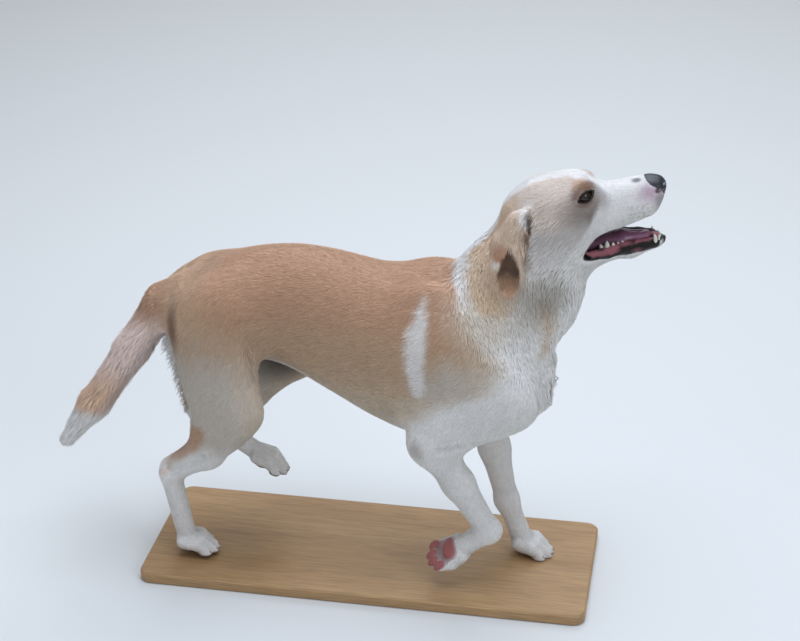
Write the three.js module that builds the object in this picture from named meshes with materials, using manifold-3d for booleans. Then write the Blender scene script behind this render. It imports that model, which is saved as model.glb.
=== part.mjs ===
// A young Labrador-type cross dog, life size, in mid-trot on a flat display base.
// Millimetres. +X is the way the dog faces, +Y is its left side and +Z is up. z = 0 is the ground it treads
// on until the last step, which lifts it onto the base. The body is one smooth field of tapered limbs,
// muscles and trunk sections. It is meshed, parted into nodes by thin cuts, and each node is then thinned.
import * as THREE from "three";
import { mergeVertices } from "three/addons/utils/BufferGeometryUtils.js";
import { triTable } from "three/addons/objects/MarchingCubes.js";
import Module from "manifold-3d";

const wasm = await Module();
wasm.setup();

// ---------------------------------------------------------------- driving dimensions

const BASE = { length: 720, width: 280, thick: 18, corner: 20, bevel: 2.5, x: -45, y: 0 };
const CUT = 0.65; // gap that parts one node from the next
const SEAT = 2.2; // gap round an ear or the tongue where it is set in
const CELL = { body: 7, head: 3.8, paw: 3.6, ear: 3, tongue: 2.6 }; // edge of a meshing cell

// How many triangles each node is thinned to.
const TRIANGLES = {
  trunk: 1180, neck: 380, head: 1460, jaw: 420, nose: 150, tongue: 150, ear: 260, tail: 300, foreleg: 360,
  hindleg: 400, paw: 310,
};

// Joints, in pairs that differ because the dog trots: the left fore and right hind feet bear the weight.
const JOINTS = {
  blade_r: [50, -52, 466], shoulder_r: [172, -76, 334], elbow_r: [67, -88, 255],
  carpus_r: [155, -76, 102], knuckle_r: [107, -72, 60],
  blade_l: [50, 52, 466], shoulder_l: [172, 74, 338], elbow_l: [124, 80, 240],
  carpus_l: [168, 52, 84], knuckle_l: [198, 36, 18],
  hip_r: [-278, -56, 424], knee_r: [-246, -86, 282],
  hock_r: [-362, -68, 148], foot_r: [-342, -60, 24],
  hip_l: [-286, 56, 424], knee_l: [-184, 88, 308],
  hock_l: [-346, 62, 190], foot_l: [-243, 52, 128],
};

// Paws: where the knuckles meet the leg, the way the toes point, the way the back of the paw faces, and
// the spread of the toes.
const PAWS = {
  fore_r: [JOINTS.knuckle_r, [-0.76, 0, -0.65], [0.5, 0.5, -0.68], 1],
  fore_l: [JOINTS.knuckle_l, [1, -0.14, -0.02], [0, 0, 1], 1],
  hind_r: [JOINTS.foot_r, [1, 0.04, -0.02], [0, 0, 1], 0.92],
  hind_l: [JOINTS.foot_l, [0.97, -0.04, -0.24], [0.24, 0, 0.97], 0.92],
};

// Trunk sections from rump to fore-chest: x, mid-line y, top, bottom, half-width, and how much wider the
// section is above its middle than below.
const TRUNK = [
  [-352, -6, 452, 404, 20, 0.0],
  [-325, -5, 474, 380, 46, 0.0],
  [-260, -2, 514, 350, 68, 0.1],
  [-180, 2, 530, 330, 74, 0.1],
  [-110, 4, 526, 291, 80, 0.1],
  [-40, 4, 511, 252, 90, 0.15],
  [30, 2, 502, 225, 93, 0.2],
  [90, 0, 486, 220, 88, 0.2],
  [150, -3, 466, 232, 78, 0.15],
  [203, -5, 438, 264, 58, 0.1],
  [240, -6, 374, 298, 22, 0.0],
];

// Head: its own frame starts midway between the eyes, x along the muzzle, then turned by these angles.
const HEAD = { at: [276, 12, 652], pitch: 14, yaw: 10 };

// The left eye in the head's frame. facing is the way the lids open and slit runs from their outer
// corner to their inner one; long and high are the size of the opening.
const EYE = {
  centre: [-5, 28, 0], radius: 11.5, lid: 13.4,
  facing: [0.52, 0.84, 0.16], slit: [22.6, -14, 4], long: 22.6, high: 12,
};

// An ear down its middle, in the head's frame: x, how far out, z, half-width, half-thickness. The left
// one hangs a little further forward and lower.
const EAR = [
  [-86, 40, -2, 13, 9],
  [-106, 50, -9, 19, 8],
  [-127, 56, -33, 21, 6],
  [-134, 60, -70, 21, 4.5],
  [-139, 63, -95, 19, 3.6],
  [-142, 65, -106, 13, 3],
];
const EAR_HANG = { right: [0, 0, 0], left: [17, 5, -13] };

// ---------------------------------------------------------------- vectors

const add = (a, b, s = 1) => [a[0] + b[0] * s, a[1] + b[1] * s, a[2] + b[2] * s];
const sub = (a, b) => add(a, b, -1);
const dot = (a, b) => a[0] * b[0] + a[1] * b[1] + a[2] * b[2];
const size = (a) => Math.hypot(...a);
const unit = (a) => a.map((v) => v / size(a));
const cross = (a, b) => [a[1] * b[2] - a[2] * b[1], a[2] * b[0] - a[0] * b[2], a[0] * b[1] - a[1] * b[0]];
const between = (a, b, t) => add(a, sub(b, a), t);

const headTurn = new THREE.Matrix4()
  .makeRotationZ(THREE.MathUtils.degToRad(HEAD.yaw))
  .multiply(new THREE.Matrix4().makeRotationY(THREE.MathUtils.degToRad(-HEAD.pitch)))
  .setPosition(...HEAD.at);
const onHead = (p) => new THREE.Vector3(...p).applyMatrix4(headTurn).toArray();
const headwards = (v) => sub(onHead(v), HEAD.at);

// ---------------------------------------------------------------- the field

// Each shape is {near, reach, blend, distance}: nothing of it lies further than reach from near.

// A tapered limb from a to b. flat squashes it along side.
function limb(a, b, ra, rb, { side = [0, 1, 0], flat = 1, blend = 20 } = {}) {
  const along = sub(b, a);
  const length2 = dot(along, along);
  const s = unit(side);
  const distance = (p) => {
    const t = Math.min(1, Math.max(0, dot(sub(p, a), along) / length2));
    const q = sub(p, add(a, along, t));
    const across = dot(q, s);
    const wide = size(add(q, s, across * (1 / flat - 1)));
    return (wide - (ra + (rb - ra) * t)) * Math.min(1, flat);
  };
  const reach = size(along) / 2 + Math.max(ra, rb) * Math.max(1, flat);
  return { near: between(a, b, 0.5), reach, blend, distance };
}

// An ellipsoid with half-axes radii along x, y and z of the given frame.
function blob(centre, radii, { axes = [[1, 0, 0], [0, 1, 0], [0, 0, 1]], blend = 15 } = {}) {
  const distance = (p) => {
    const q = axes.map((axis) => dot(sub(p, centre), axis));
    const k0 = Math.hypot(q[0] / radii[0], q[1] / radii[1], q[2] / radii[2]);
    const k1 = Math.hypot(q[0] / radii[0] ** 2, q[1] / radii[1] ** 2, q[2] / radii[2] ** 2);
    return k1 > 1e-9 ? (k0 * (k0 - 1)) / k1 : -Math.min(...radii);
  };
  return { near: centre, reach: Math.max(...radii), blend, distance };
}

// A smooth reading of a section table at x: the values that follow the row's own x.
function sectionAt(table, x) {
  let i = 0;
  while (i < table.length - 2 && x > table[i + 1][0]) i++;
  const row = (n) => table[Math.min(table.length - 1, Math.max(0, n))];
  const [r0, r1, r2, r3] = [row(i - 1), row(i), row(i + 1), row(i + 2)];
  const h = r2[0] - r1[0];
  const t = Math.min(1, Math.max(0, (x - r1[0]) / h));
  const [t2, t3] = [t * t, t * t * t];
  return r1.slice(1).map((v1, j) => {
    const [v0, v2, v3] = [r0[j + 1], r2[j + 1], r3[j + 1]];
    const m1 = r0 === r1 ? (v2 - v1) / h : (v2 - v0) / (r2[0] - r0[0]);
    const m2 = r3 === r2 ? (v2 - v1) / h : (v3 - v1) / (r3[0] - r1[0]);
    const ends = (2 * t3 - 3 * t2 + 1) * v1 + (3 * t2 - 2 * t3) * v2;
    return ends + (t3 - 2 * t2 + t) * h * m1 + (t3 - t2) * h * m2;
  });
}

// A barrel whose sections along x come from a table of [x, mid y, top, bottom, half-width, high].
function barrel(table, { blend = 20, frame = (p) => p } = {}) {
  const [first, last] = [table[0][0], table[table.length - 1][0]];
  const distance = (world) => {
    const [x, y, z] = frame(world);
    const [mid, top, bottom, half, high] = sectionAt(table, x);
    const tall = Math.max(1, (top - bottom) / 2);
    const up = z - (top + bottom) / 2;
    const wide = Math.max(1, half * (1 + high * Math.max(-1, Math.min(1, up / tall))));
    const k0 = Math.hypot(up / tall, (y - mid) / wide);
    const k1 = Math.hypot(up / tall ** 2, (y - mid) / wide ** 2);
    const inSection = k1 > 1e-9 ? (k0 * (k0 - 1)) / k1 : -Math.min(tall, wide);
    const beyond = Math.max(0, first - x, x - last);
    return beyond > 0 ? Math.hypot(Math.max(0, inSection), beyond) : inSection;
  };
  return { near: [0, 0, 0], reach: Infinity, blend, distance };
}

function smoothMin(a, b, k) {
  const h = Math.max(k - Math.abs(a - b), 0) / k;
  return Math.min(a, b) - (h * h * k) / 4;
}

// Shapes joined one after another, each with its own blend; a group joins the next thing with blend.
function group(shapes, blend = 20) {
  const distance = (p) => {
    let d = 1e9;
    for (const s of shapes) {
      const least = s.reach === Infinity ? -1e9 : size(sub(p, s.near)) - s.reach;
      if (least < d + s.blend) d = smoothMin(d, s.distance(p), s.blend);
    }
    return d;
  };
  return { near: [0, 0, 0], reach: Infinity, blend, distance };
}

// ---------------------------------------------------------------- body shapes

const J = JOINTS;

function trunkShapes() {
  return [
    barrel(TRUNK, { blend: 1 }),
    // neck
    limb([114, -1, 400], [181, 0, 487], 93, 86, { flat: 0.74, blend: 50 }),
    limb([181, 0, 487], [226, 4, 572], 85, 69, { flat: 0.76, blend: 40 }),
  ];
}

function tailShapes() {
  return [
    limb([-330, -5, 446], [-374, -9, 424], 32, 30, { blend: 25 }),
    limb([-374, -9, 424], [-427, -22, 345], 29, 27, { blend: 15 }),
    limb([-427, -22, 345], [-490, -42, 250], 27, 24, { blend: 15 }),
    limb([-492, -42, 250], [-535, -58, 190], 24, 8, { blend: 15 }),
  ];
}

// The frame of a paw and its four toes. out is the way the toes point and up the back of the paw.
function pawPlan([at, out, up, width]) {
  const f = unit(out);
  const s = unit(cross(unit(up), f));
  const u = cross(f, s);
  const place = (x, y, z) => add(add(add(at, f, x), s, y), u, z);
  const toes = [-1.5, -0.5, 0.5, 1.5].map((i) => {
    const inner = Math.abs(i) < 1;
    const reach = inner ? 1 : 0.78;
    const y = i * 13 * width;
    return {
      root: place(-4, i * 10, 0),
      knuckle: place(22 * reach, y, inner ? 1 : -1),
      tip: place(42 * reach, y * 1.03, -11),
      claw: [place(42 * reach, y * 1.04, -9), place(42 * reach + 13, y * 1.06, -14)],
    };
  });
  return { place, toes, axes: [f, s, u] };
}

// Four toes, the heel pad and toe pads of a paw.
function pawShapes(paw) {
  const { place, toes, axes } = pawPlan(paw);
  const shapes = [blob(place(7, 0, -12), [16, 19 * paw[3], 9], { axes, blend: 8 })];
  for (const { root, knuckle, tip } of toes) {
    shapes.push(limb(root, knuckle, 11.5, 9.8, { blend: 6 }));
    shapes.push(limb(knuckle, tip, 9.8, 7.6, { blend: 4 }));
    shapes.push(blob(add(tip, axes[2], -4), [11, 8, 5.5], { axes, blend: 3 }));
  }
  return shapes;
}

function foreLeg(side) {
  const names = ["blade", "shoulder", "elbow", "carpus", "knuckle"];
  const [blade, shoulder, elbow, carpus, knuckle] = names.map((n) => J[n + side]);
  const mid = between(elbow, carpus, 0.45);
  const point = add(add(elbow, unit(sub(elbow, carpus)), 14), unit(sub(elbow, shoulder)), 12);
  return group([
    limb(blade, shoulder, 36, 43, { flat: 0.5, blend: 1 }),
    limb(shoulder, elbow, 45, 34, { flat: 0.66, blend: 30 }),
    limb(between(blade, elbow, 0.35), elbow, 48, 25, { flat: 0.55, blend: 30 }),
    blob(point, [13, 13, 13], { blend: 14 }),
    limb(elbow, mid, 30, 25, { flat: 0.85, blend: 10 }),
    limb(mid, carpus, 25, 18, { flat: 0.85, blend: 12 }),
    blob(carpus, [19, 18, 20], { blend: 12 }),
    limb(carpus, knuckle, 17.5, 17.5, { blend: 10 }),
    ...pawShapes(PAWS["fore" + side]),
  ], 34);
}

// The hamstring runs from the ischium to a share of the way from the knee to the heel; the shin runs
// in front of the tendon.
function hindLeg(side, ischium, share) {
  const [hip, knee, hock, foot] = ["hip", "knee", "hock", "foot"].map((n) => J[n + side]);
  const down = unit(sub(hock, knee));
  const ahead = unit([-down[2], 0, down[0]]);
  const calf = add(between(knee, hock, 0.55), ahead, 18);
  const cord = between(knee, hock, 0.56);
  const heel = add(add(hock, unit(sub(hock, foot)), 22), down, 4);
  return group([
    limb(hip, knee, 66, 38, { flat: 0.6, blend: 1 }),
    limb(ischium, between(knee, heel, share), 46, 25, { flat: 0.62, blend: 30 }),
    limb(between(hip, ischium, 0.5), between(knee, heel, share * 0.6), 61 * share, 36 * share, { flat: 0.45, blend: 24 }),
    limb(knee, calf, 37, 25, { flat: 0.6, blend: 24 }),
    limb(calf, hock, 23, 16, { flat: 0.75, blend: 14 }),
    limb(between(knee, heel, share * 0.8), cord, 26, 14, { flat: 0.7, blend: 14 }),
    limb(cord, heel, 14, 9.5, { flat: 0.8, blend: 6 }),
    limb(hock, foot, 17.5, 16.5, { flat: 0.92, blend: 12 }),
    ...pawShapes(PAWS["hind" + side]),
  ], 34);
}

// ---------------------------------------------------------------- head shapes

const HEAD_AXES = [headwards([1, 0, 0]), headwards([0, 1, 0]), headwards([0, 0, 1])];

// A blob given in the head's frame, or its mirrored pair when y is not 0.
function headBlob([x, y, z], radii, blend = 12) {
  const sides = y ? [-y, y] : [0];
  return sides.map((w) => blob(onHead([x, w, z]), radii, { axes: HEAD_AXES, blend }));
}

// A limb given in the head's frame, mirrored when it lies to one side.
function headLimb([ax, ay, az], [bx, by, bz], ra, rb, { flat = 1, blend = 12 } = {}) {
  const sides = ay || by ? [-1, 1] : [1];
  return sides.map((w) =>
    limb(onHead([ax, ay * w, az]), onHead([bx, by * w, bz]), ra, rb, { side: HEAD_AXES[1], flat, blend }),
  );
}

function headShapes() {
  return [
    ...headBlob([-58, 0, -8], [54, 47, 44], 1), // skull
    ...headBlob([-20, 0, 1], [35, 34, 33], 18), // forehead
    ...headBlob([-94, 0, -3], [24, 22, 18], 20), // occiput
    ...headBlob([-44, 24, -34], [42, 27, 42], 22), // cheek muscle
    ...headLimb([4, 27, -17], [-52, 43, -26], 10, 10, { blend: 16 }), // cheekbone
    ...headBlob([-2, 21, 11], [17, 12, 9], 16), // brow
    ...headLimb([20, 0, -26], [90, 0, -27], 33, 23, { flat: 0.94, blend: 26 }), // muzzle
    ...headLimb([34, 0, -6], [94, 0, -13], 11, 11, { flat: 1.3, blend: 14 }), // bridge of the muzzle
    ...headLimb([8, 17, -52], [82, 14, -42], 19, 17, { flat: 0.9, blend: 12 }), // upper lips
    ...headBlob([104, 0, -18], [13, 18, 14], 5), // nose
    ...headLimb([-38, 0, -80], [46, 0, -102], 34, 20, { flat: 0.95, blend: 18 }), // lower jaw
    ...headLimb([46, 0, -102], [84, 0, -103], 20, 14, { flat: 1.05, blend: 10 }), // chin
    ...headBlob([-84, 0, -52], [44, 46, 48], 30), // throat
    ...headBlob(EYE.centre, [EYE.lid, EYE.lid, EYE.lid], 7), // eyelids
  ];
}

// The open mouth in the head's frame, cut right across the muzzle: rows as in the trunk's sections.
const MOUTH = [
  [-30, 0, -85, -91, 34, 0],
  [-18, 0, -74, -98, 52, 0],
  [0, 0, -62, -103, 60, 0],
  [20, 0, -60, -106, 60, 0],
  [46, 0, -63, -108, 60, 0],
  [83, 0, -56, -103, 60, 0],
  [100, 0, -53, -97, 60, 0],
  [112, 0, -46, -94, 60, 0],
  [140, 0, -20, -94, 60, 0],
];

const intoHead = headTurn.clone().invert();
const toHead = (p) => new THREE.Vector3(...p).applyMatrix4(intoHead).toArray();

// One ear, a flap that hangs with its hollow side outwards. side is -1 for the right ear, 1 for the left.
function earShapes(side, shift) {
  const at = (x, y, z) => onHead([x + shift[0], side * (y + shift[1]), z + shift[2]]);
  const rows = EAR.map(([x, y, z, half, thick]) => [at(x, y, z), half, thick / half]);
  const shapes = rows.slice(1).map(([to, half, flat], i) => {
    const [from, before, was] = rows[i];
    return limb(from, to, before, half, { side: HEAD_AXES[1], flat: (flat + was) / 2, blend: 8 });
  });
  const hollow = (x, y, z, radii) => blob(at(x, y, z), radii, { axes: HEAD_AXES });
  const hollows = [hollow(-139, 70, -82, [16, 11, 34]), hollow(-104, 66, -34, [8, 14, 20])];
  const flap = group(shapes);
  return {
    distance: (p) => hollows.reduce((d, h) => -smoothMin(-d, h.distance(p), 4), flap.distance(p)),
  };
}

// What is carved out of the flesh, and what stands up again inside the mouth.
const carved = [
  barrel(MOUTH, { blend: 6, frame: toHead }),
  ...headLimb([-12, 0, -66], [84, 0, -54], 14, 12, { flat: 1.1, blend: 6 }), // palate
  ...headLimb([-6, 0, -100], [74, 0, -98], 12, 9, { flat: 1, blend: 6 }), // floor of the mouth
  ...headBlob([115, 8.5, -16], [8, 4, 4.5], 3), // nostrils
  ...headBlob([108, 17, -20], [8, 5, 2.5], 3), // the slits behind them
];
const gums = headLimb([-8, 17, -106], [82, 11, -103], 7, 6, { blend: 5 });
const tongue = group(
  [
    ...headLimb([-16, 0, -92], [40, 0, -95], 9, 7.5, { flat: 1.2, blend: 1 }),
    ...headLimb([40, 0, -95], [70, 0, -94], 7.5, 5, { flat: 1.5, blend: 8 }),
  ],
  1,
);

const flesh = group([
  ...trunkShapes(),
  group(tailShapes(), 20),
  foreLeg("_r"),
  foreLeg("_l"),
  hindLeg("_r", [-312, -48, 398], 0.33),
  hindLeg("_l", [-360, 44, 390], 0.88),
  group(headShapes(), 34),
], 1);

// The whole body but the ears, with the mouth carved out of the head.
function bodyField(p) {
  let d = flesh.distance(p);
  if (size(sub(p, HEAD.at)) > 190) return d;
  for (const hollow of carved) d = -smoothMin(-d, hollow.distance(p), hollow.blend);
  for (const gum of gums) d = smoothMin(d, gum.distance(p), gum.blend);
  return d;
}

// ---------------------------------------------------------------- meshing

// The surface of a field as a closed mesh {points, faces}: marching cubes, then a step onto the surface.
function march(field, low, high, cell) {
  const n = [0, 1, 2].map((i) => Math.ceil((high[i] - low[i]) / cell) + 1);
  const stride = [1, n[0], n[0] * n[1]];
  const values = new Float32Array(n[0] * n[1] * n[2]);
  const place = (i, j, k) => [low[0] + i * cell, low[1] + j * cell, low[2] + k * cell];
  const onEdge = (at) => at.some((v, axis) => v === 0 || v === n[axis] - 1);
  for (let k = 0, c = 0; k < n[2]; k++)
    for (let j = 0; j < n[1]; j++)
      for (let i = 0; i < n[0]; i++) values[c++] = onEdge([i, j, k]) ? cell : field(place(i, j, k)) || 1e-6;
  const corners = [[0, 0, 0], [1, 0, 0], [1, 1, 0], [0, 1, 0], [0, 0, 1], [1, 0, 1], [1, 1, 1], [0, 1, 1]];
  const ring = [0, 1, 2, 3].map((v) => [v, (v + 1) % 4]);
  const edges = [...ring, ...ring.map(([v, w]) => [v + 4, w + 4]), ...ring.map(([v]) => [v, v + 4])];
  const offsets = corners.map((c) => dot(c, stride));
  const [points, faces, known] = [[], [], new Map()];
  const vertex = (cellAt, [i, j, k], edge) => {
    const [c0, c1] = edges[edge];
    const [a, b] = [cellAt + offsets[c0], cellAt + offsets[c1]];
    const key = Math.min(a, b) * 3 + [0, 1, 2].find((axis) => corners[c0][axis] !== corners[c1][axis]);
    if (!known.has(key)) {
      const [p, q] = [corners[c0], corners[c1]].map((c) => place(i + c[0], j + c[1], k + c[2]));
      const t = values[a] / (values[a] - values[b]);
      known.set(key, points.length);
      points.push(between(p, q, Math.min(0.95, Math.max(0.05, t))));
    }
    return known.get(key);
  };
  for (let k = 0; k < n[2] - 1; k++)
    for (let j = 0; j < n[1] - 1; j++)
      for (let i = 0; i < n[0] - 1; i++) {
        const c = i + j * stride[1] + k * stride[2];
        let code = 0;
        for (let v = 0; v < 8; v++) if (values[c + offsets[v]] < 0) code |= 1 << v;
        for (let e = code * 16; code && triTable[e] !== -1; e += 3)
          faces.push([0, 2, 1].map((v) => vertex(c, [i, j, k], triTable[e + v])));
      }
  return { points: points.map((p) => ontoLevel(field, p)), faces };
}

const slopeOf = (field, p, e = 0.5) =>
  [0, 1, 2].map((i) => {
    const step = [0, 0, 0];
    step[i] = e;
    return (field(add(p, step)) - field(sub(p, step))) / (2 * e);
  });

function ontoLevel(field, p) {
  const slope = slopeOf(field, p);
  const move = field(p) / Math.max(dot(slope, slope), 0.25);
  return add(p, slope, -Math.min(1.5, Math.max(-1.5, move)));
}

// Quadric edge collapse down to a number of faces.
function thin({ points, faces }, target) {
  const quadric = points.map(() => new Float64Array(10));
  const around = points.map(() => new Set());
  const version = new Int32Array(points.length);
  const normal = ([a, b, c], moved, to) => {
    const [p, q, r] = [a, b, c].map((v) => (moved.includes(v) ? to : points[v]));
    return cross(sub(q, p), sub(r, p));
  };
  faces.forEach((f, i) => {
    const area = normal(f, [], null);
    const n = unit(area);
    const d = -dot(n, points[f[0]]);
    const w = size(area) / 2;
    const v = [...n, d];
    for (const vertex of f) {
      around[vertex].add(i);
      for (let r = 0, c = 0; r < 4; r++)
        for (let s = r; s < 4; s++) quadric[vertex][c++] += w * v[r] * v[s];
    }
  });
  const costAt = (q, [x, y, z]) =>
    q[0] * x * x + 2 * q[1] * x * y + 2 * q[2] * x * z + 2 * q[3] * x + q[4] * y * y + 2 * q[5] * y * z +
    2 * q[6] * y + q[7] * z * z + 2 * q[8] * z + q[9];
  const best = (a, b) => {
    const q = quadric[a].map((v, i) => v + quadric[b][i]);
    const m = new THREE.Matrix3().set(q[0], q[1], q[2], q[1], q[4], q[5], q[2], q[5], q[7]);
    const mid = between(points[a], points[b], 0.5);
    let to = mid;
    const scale = (q[0] + q[4] + q[7]) / 3;
    if (Math.abs(m.determinant()) > 1e-4 * scale ** 3) {
      const solved = new THREE.Vector3(-q[3], -q[6], -q[8]).applyMatrix3(m.invert()).toArray();
      if (size(sub(solved, mid)) < size(sub(points[a], points[b]))) to = solved;
    }
    return [Math.max(0, costAt(q, to)) + 1e-6 * size(sub(points[a], points[b])), to];
  };
  const heap = [];
  const push = (item) => {
    let i = heap.push(item) - 1;
    while (i > 0 && heap[(i - 1) >> 1][0] > item[0]) {
      heap[i] = heap[(i - 1) >> 1];
      i = (i - 1) >> 1;
    }
    heap[i] = item;
  };
  const pop = () => {
    const [top, last] = [heap[0], heap.pop()];
    if (!heap.length) return top;
    let i = 0;
    for (let c = 1; c < heap.length; c = 2 * i + 1) {
      if (c + 1 < heap.length && heap[c + 1][0] < heap[c][0]) c++;
      if (heap[c][0] >= last[0]) break;
      heap[i] = heap[c];
      i = c;
    }
    heap[i] = last;
    return top;
  };
  const neighbours = (v) => {
    const found = new Set();
    for (const f of around[v]) for (const w of faces[f]) if (w !== v) found.add(w);
    return found;
  };
  const consider = (a, b) => {
    const [cost, to] = best(a, b);
    push([cost, a, b, version[a] + version[b], to]);
  };
  faces.forEach(([a, b, c]) => [[a, b], [b, c], [c, a]].forEach(([v, w]) => v < w && consider(v, w)));
  let left = faces.length;
  while (left > target && heap.length) {
    const [, a, b, stamp, to] = pop();
    if (version[a] < 0 || version[b] < 0 || stamp !== version[a] + version[b]) continue;
    const [na, nb] = [neighbours(a), neighbours(b)];
    if (!na.has(b)) continue;
    let shared = 0;
    for (const v of na) if (nb.has(v)) shared++;
    if (shared !== 2) continue;
    const both = (f) => faces[f].includes(a) && faces[f].includes(b);
    const kept = [...around[a], ...around[b]].filter((f) => !both(f));
    const turns = kept.some((f) => {
      const [was, now] = [normal(faces[f], [], null), normal(faces[f], [a, b], to)];
      return dot(was, now) < 0.35 * size(was) * size(now) || size(now) < 1e-3;
    });
    if (turns) continue;
    points[a] = to;
    quadric[a] = quadric[a].map((v, i) => v + quadric[b][i]);
    for (const f of [...around[b]]) {
      if (faces[f].includes(a)) {
        for (const v of faces[f]) around[v].delete(f);
        left--;
      } else {
        faces[f] = faces[f].map((v) => (v === b ? a : v));
        around[a].add(f);
      }
    }
    around[b].clear();
    version[b] = -1;
    version[a]++;
    const again = neighbours(a);
    for (const v of again) consider(a, v);
  }
  const used = new Map();
  const live = faces.filter((f, i) => around[f[0]].has(i));
  const index = live.map((f) => f.map((v) => used.get(v) ?? (used.set(v, used.size), used.size - 1)));
  return { points: [...used.keys()].map((v) => points[v]), faces: index };
}

// ---------------------------------------------------------------- solids

const manifold = (vertProperties, triVerts) =>
  new wasm.Manifold(new wasm.Mesh({ numProp: 3, vertProperties, triVerts: new Uint32Array(triVerts) }));

const solidOf = ({ points, faces }) => manifold(new Float32Array(points.flat()), faces.flat());

function solidFrom(geometry) {
  const bare = new THREE.BufferGeometry().setAttribute("position", geometry.getAttribute("position"));
  if (geometry.index) bare.setIndex(geometry.index);
  const merged = mergeVertices(bare, 1e-4);
  return manifold(merged.attributes.position.array, merged.index.array);
}

// A solid's mesh as lists of points and faces.
function meshOf(solid) {
  const { numProp, vertProperties, triVerts } = solid.getMesh();
  const rows = (list, step) =>
    Array.from({ length: list.length / step }, (_, i) => Array.from(list.subarray(step * i, step * i + 3)));
  return { points: rows(vertProperties, numProp), faces: rows(triVerts, 3) };
}

function geometryOf(solid) {
  const { points, faces } = meshOf(solid);
  const geometry = new THREE.BufferGeometry()
    .setAttribute("position", new THREE.Float32BufferAttribute(points.flat(), 3))
    .setIndex(faces.flat());
  geometry.computeVertexNormals();
  return geometry;
}

// The largest body of a solid, without the crumbs a cut can leave.
const largest = (solid) => solid.decompose().sort((a, b) => b.volume() - a.volume())[0];

// The ends of outline moved inwards by d, for an outline that runs clockwise or anticlockwise alike.
function inset(outline, d) {
  const n = outline.length;
  const turn = Math.sign(outline.reduce((sum, [x, z], i) => {
    const [u, w] = outline[(i + 1) % n];
    return sum + x * w - u * z;
  }, 0));
  const lines = outline.map(([x, z], i) => {
    const [u, w] = outline[(i + 1) % n];
    const long = Math.hypot(u - x, w - z);
    const normal = [(-(w - z) * turn) / long, ((u - x) * turn) / long];
    return [...normal, normal[0] * x + normal[1] * z + d];
  });
  return lines.map(([a, b, c], i) => {
    const [e, f, g] = lines[(i + n - 1) % n];
    const det = a * f - e * b;
    return [(c * f - g * b) / det, (a * g - e * c) / det];
  });
}

// A slab whose outline is drawn in side view (x, z) and which runs from y0 to y1, pushed outwards by grow.
function slab(outline, y0, y1, grow = 0, frame = new THREE.Matrix4()) {
  const shape = new THREE.Shape(inset(outline, -grow).map(([x, z]) => new THREE.Vector2(x, z)));
  const geometry = new THREE.ExtrudeGeometry(shape, { depth: y1 - y0 + 2 * grow, bevelEnabled: false });
  geometry.rotateX(Math.PI / 2).translate(0, y1 + grow, 0).applyMatrix4(frame);
  return solidFrom(geometry);
}

// A slab that starts part of the way from joint a to joint b and runs beyond b.
function beyond(a, b, t, half, long) {
  const along = unit([b[0] - a[0], 0, b[2] - a[2]]);
  const across = [-along[2], 0, along[0]];
  const start = between(a, b, t);
  const corner = (x, z) => add(add(start, along, x), across, z);
  const corners = [corner(0, -half), corner(long, -half), corner(long, half), corner(0, half)];
  return corners.map(([x, , z]) => [x, z]);
}

// A field meshed in a box, and a node's solid thinned to its share of triangles.
const solidIn = (field, low, high, cell) => largest(solidOf(march(field, low, high, cell)));

const thinned = (solid, triangles) => solidOf(thin(meshOf(solid), triangles));

// ---------------------------------------------------------------- how the body is parted

const [FAR, MID] = [200, 4];
const ALL_ACROSS = [-FAR, FAR];
const THIGH_TOP = [[-384, 400], [-228, 400], [-118, 316], [-118, 236], [-410, 236]];
const SHANK = [[-118, 238], [-410, 238], [-410, -30], [-118, -30]];
const UPPER_ARM = [[4, 296], [242, 296], [242, 196], [4, 196]];
const FOREARM = [[4, 198], [290, 198], [290, -30], [4, -30]];
const TAIL_CUT = [[-350, 486], [-356, 392], [-470, 150], [-600, 150], [-600, 486]];
const HEAD_CUT = [[285, 495], [140, 664], [100, 760], [460, 760], [460, 495]];
const NECK_CUT = [[96, 526], [266, 382], [340, 440], [330, 520], [140, 700], [60, 600]];
const JAW_CUT = [[-26, -91], [134, -76], [134, -150], [-20, -150], [-40, -104], [-38, -91]];
const NOSE_CUT = [[96, 10], [100, -12], [105, -25], [112, -35], [140, -35], [140, 10]];

// The part of a solid in the slabs, and the rest of it with a thin gap between.
function split(solid, slabs, frame) {
  const joined = (grow) => {
    const solids = slabs.map(([outline, [y0, y1]]) => slab(outline, y0, y1, grow, frame));
    return solids.reduce((all, one) => all.add(one));
  };
  return [largest(solid.intersect(joined(0))), largest(solid.subtract(joined(CUT)))];
}

const nodes = {};
const underground = solidFrom(new THREE.BoxGeometry(1400, 600, 60).translate(0, 0, -30));

let rest = solidIn(bodyField, [-560, -140, -21], [314, 140, 693], CELL.body);
[nodes.tail, rest] = split(rest, [[TAIL_CUT, [-100, 15]]]);
for (const [side, sign] of [["right", -1], ["left", 1]]) {
  const reach = (from) => [from * sign, FAR * sign].sort((a, b) => a - b);
  for (const [end, upper, lower, medial, joint] of [
    ["fore", UPPER_ARM, FOREARM, 50, "carpus_"],
    ["hind", THIGH_TOP, SHANK, 22, "hock_"],
  ]) {
    const key = end + "_" + side[0];
    const knuckles = PAWS[key][0];
    const pawCut = [[beyond(J[joint + side[0]], knuckles, 0.62, 60, 160), reach(MID)]];
    const box = [-1, 1].map((s) => knuckles.map((v) => v + s * 84));
    const paw = split(solidIn(bodyField, box[0], box[1], CELL.paw), pawCut)[0];
    nodes["paw_" + end + "_" + side] = largest(paw.subtract(underground));
    let leg;
    [leg, rest] = split(rest, [[upper, reach(medial)], [lower, reach(MID)]]);
    nodes[end + "leg_" + side] = split(leg, pawCut)[1];
  }
}
rest = split(rest, [[HEAD_CUT, ALL_ACROSS]])[1];
[nodes.neck, nodes.trunk] = split(rest, [[NECK_CUT, ALL_ACROSS]]);

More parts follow.
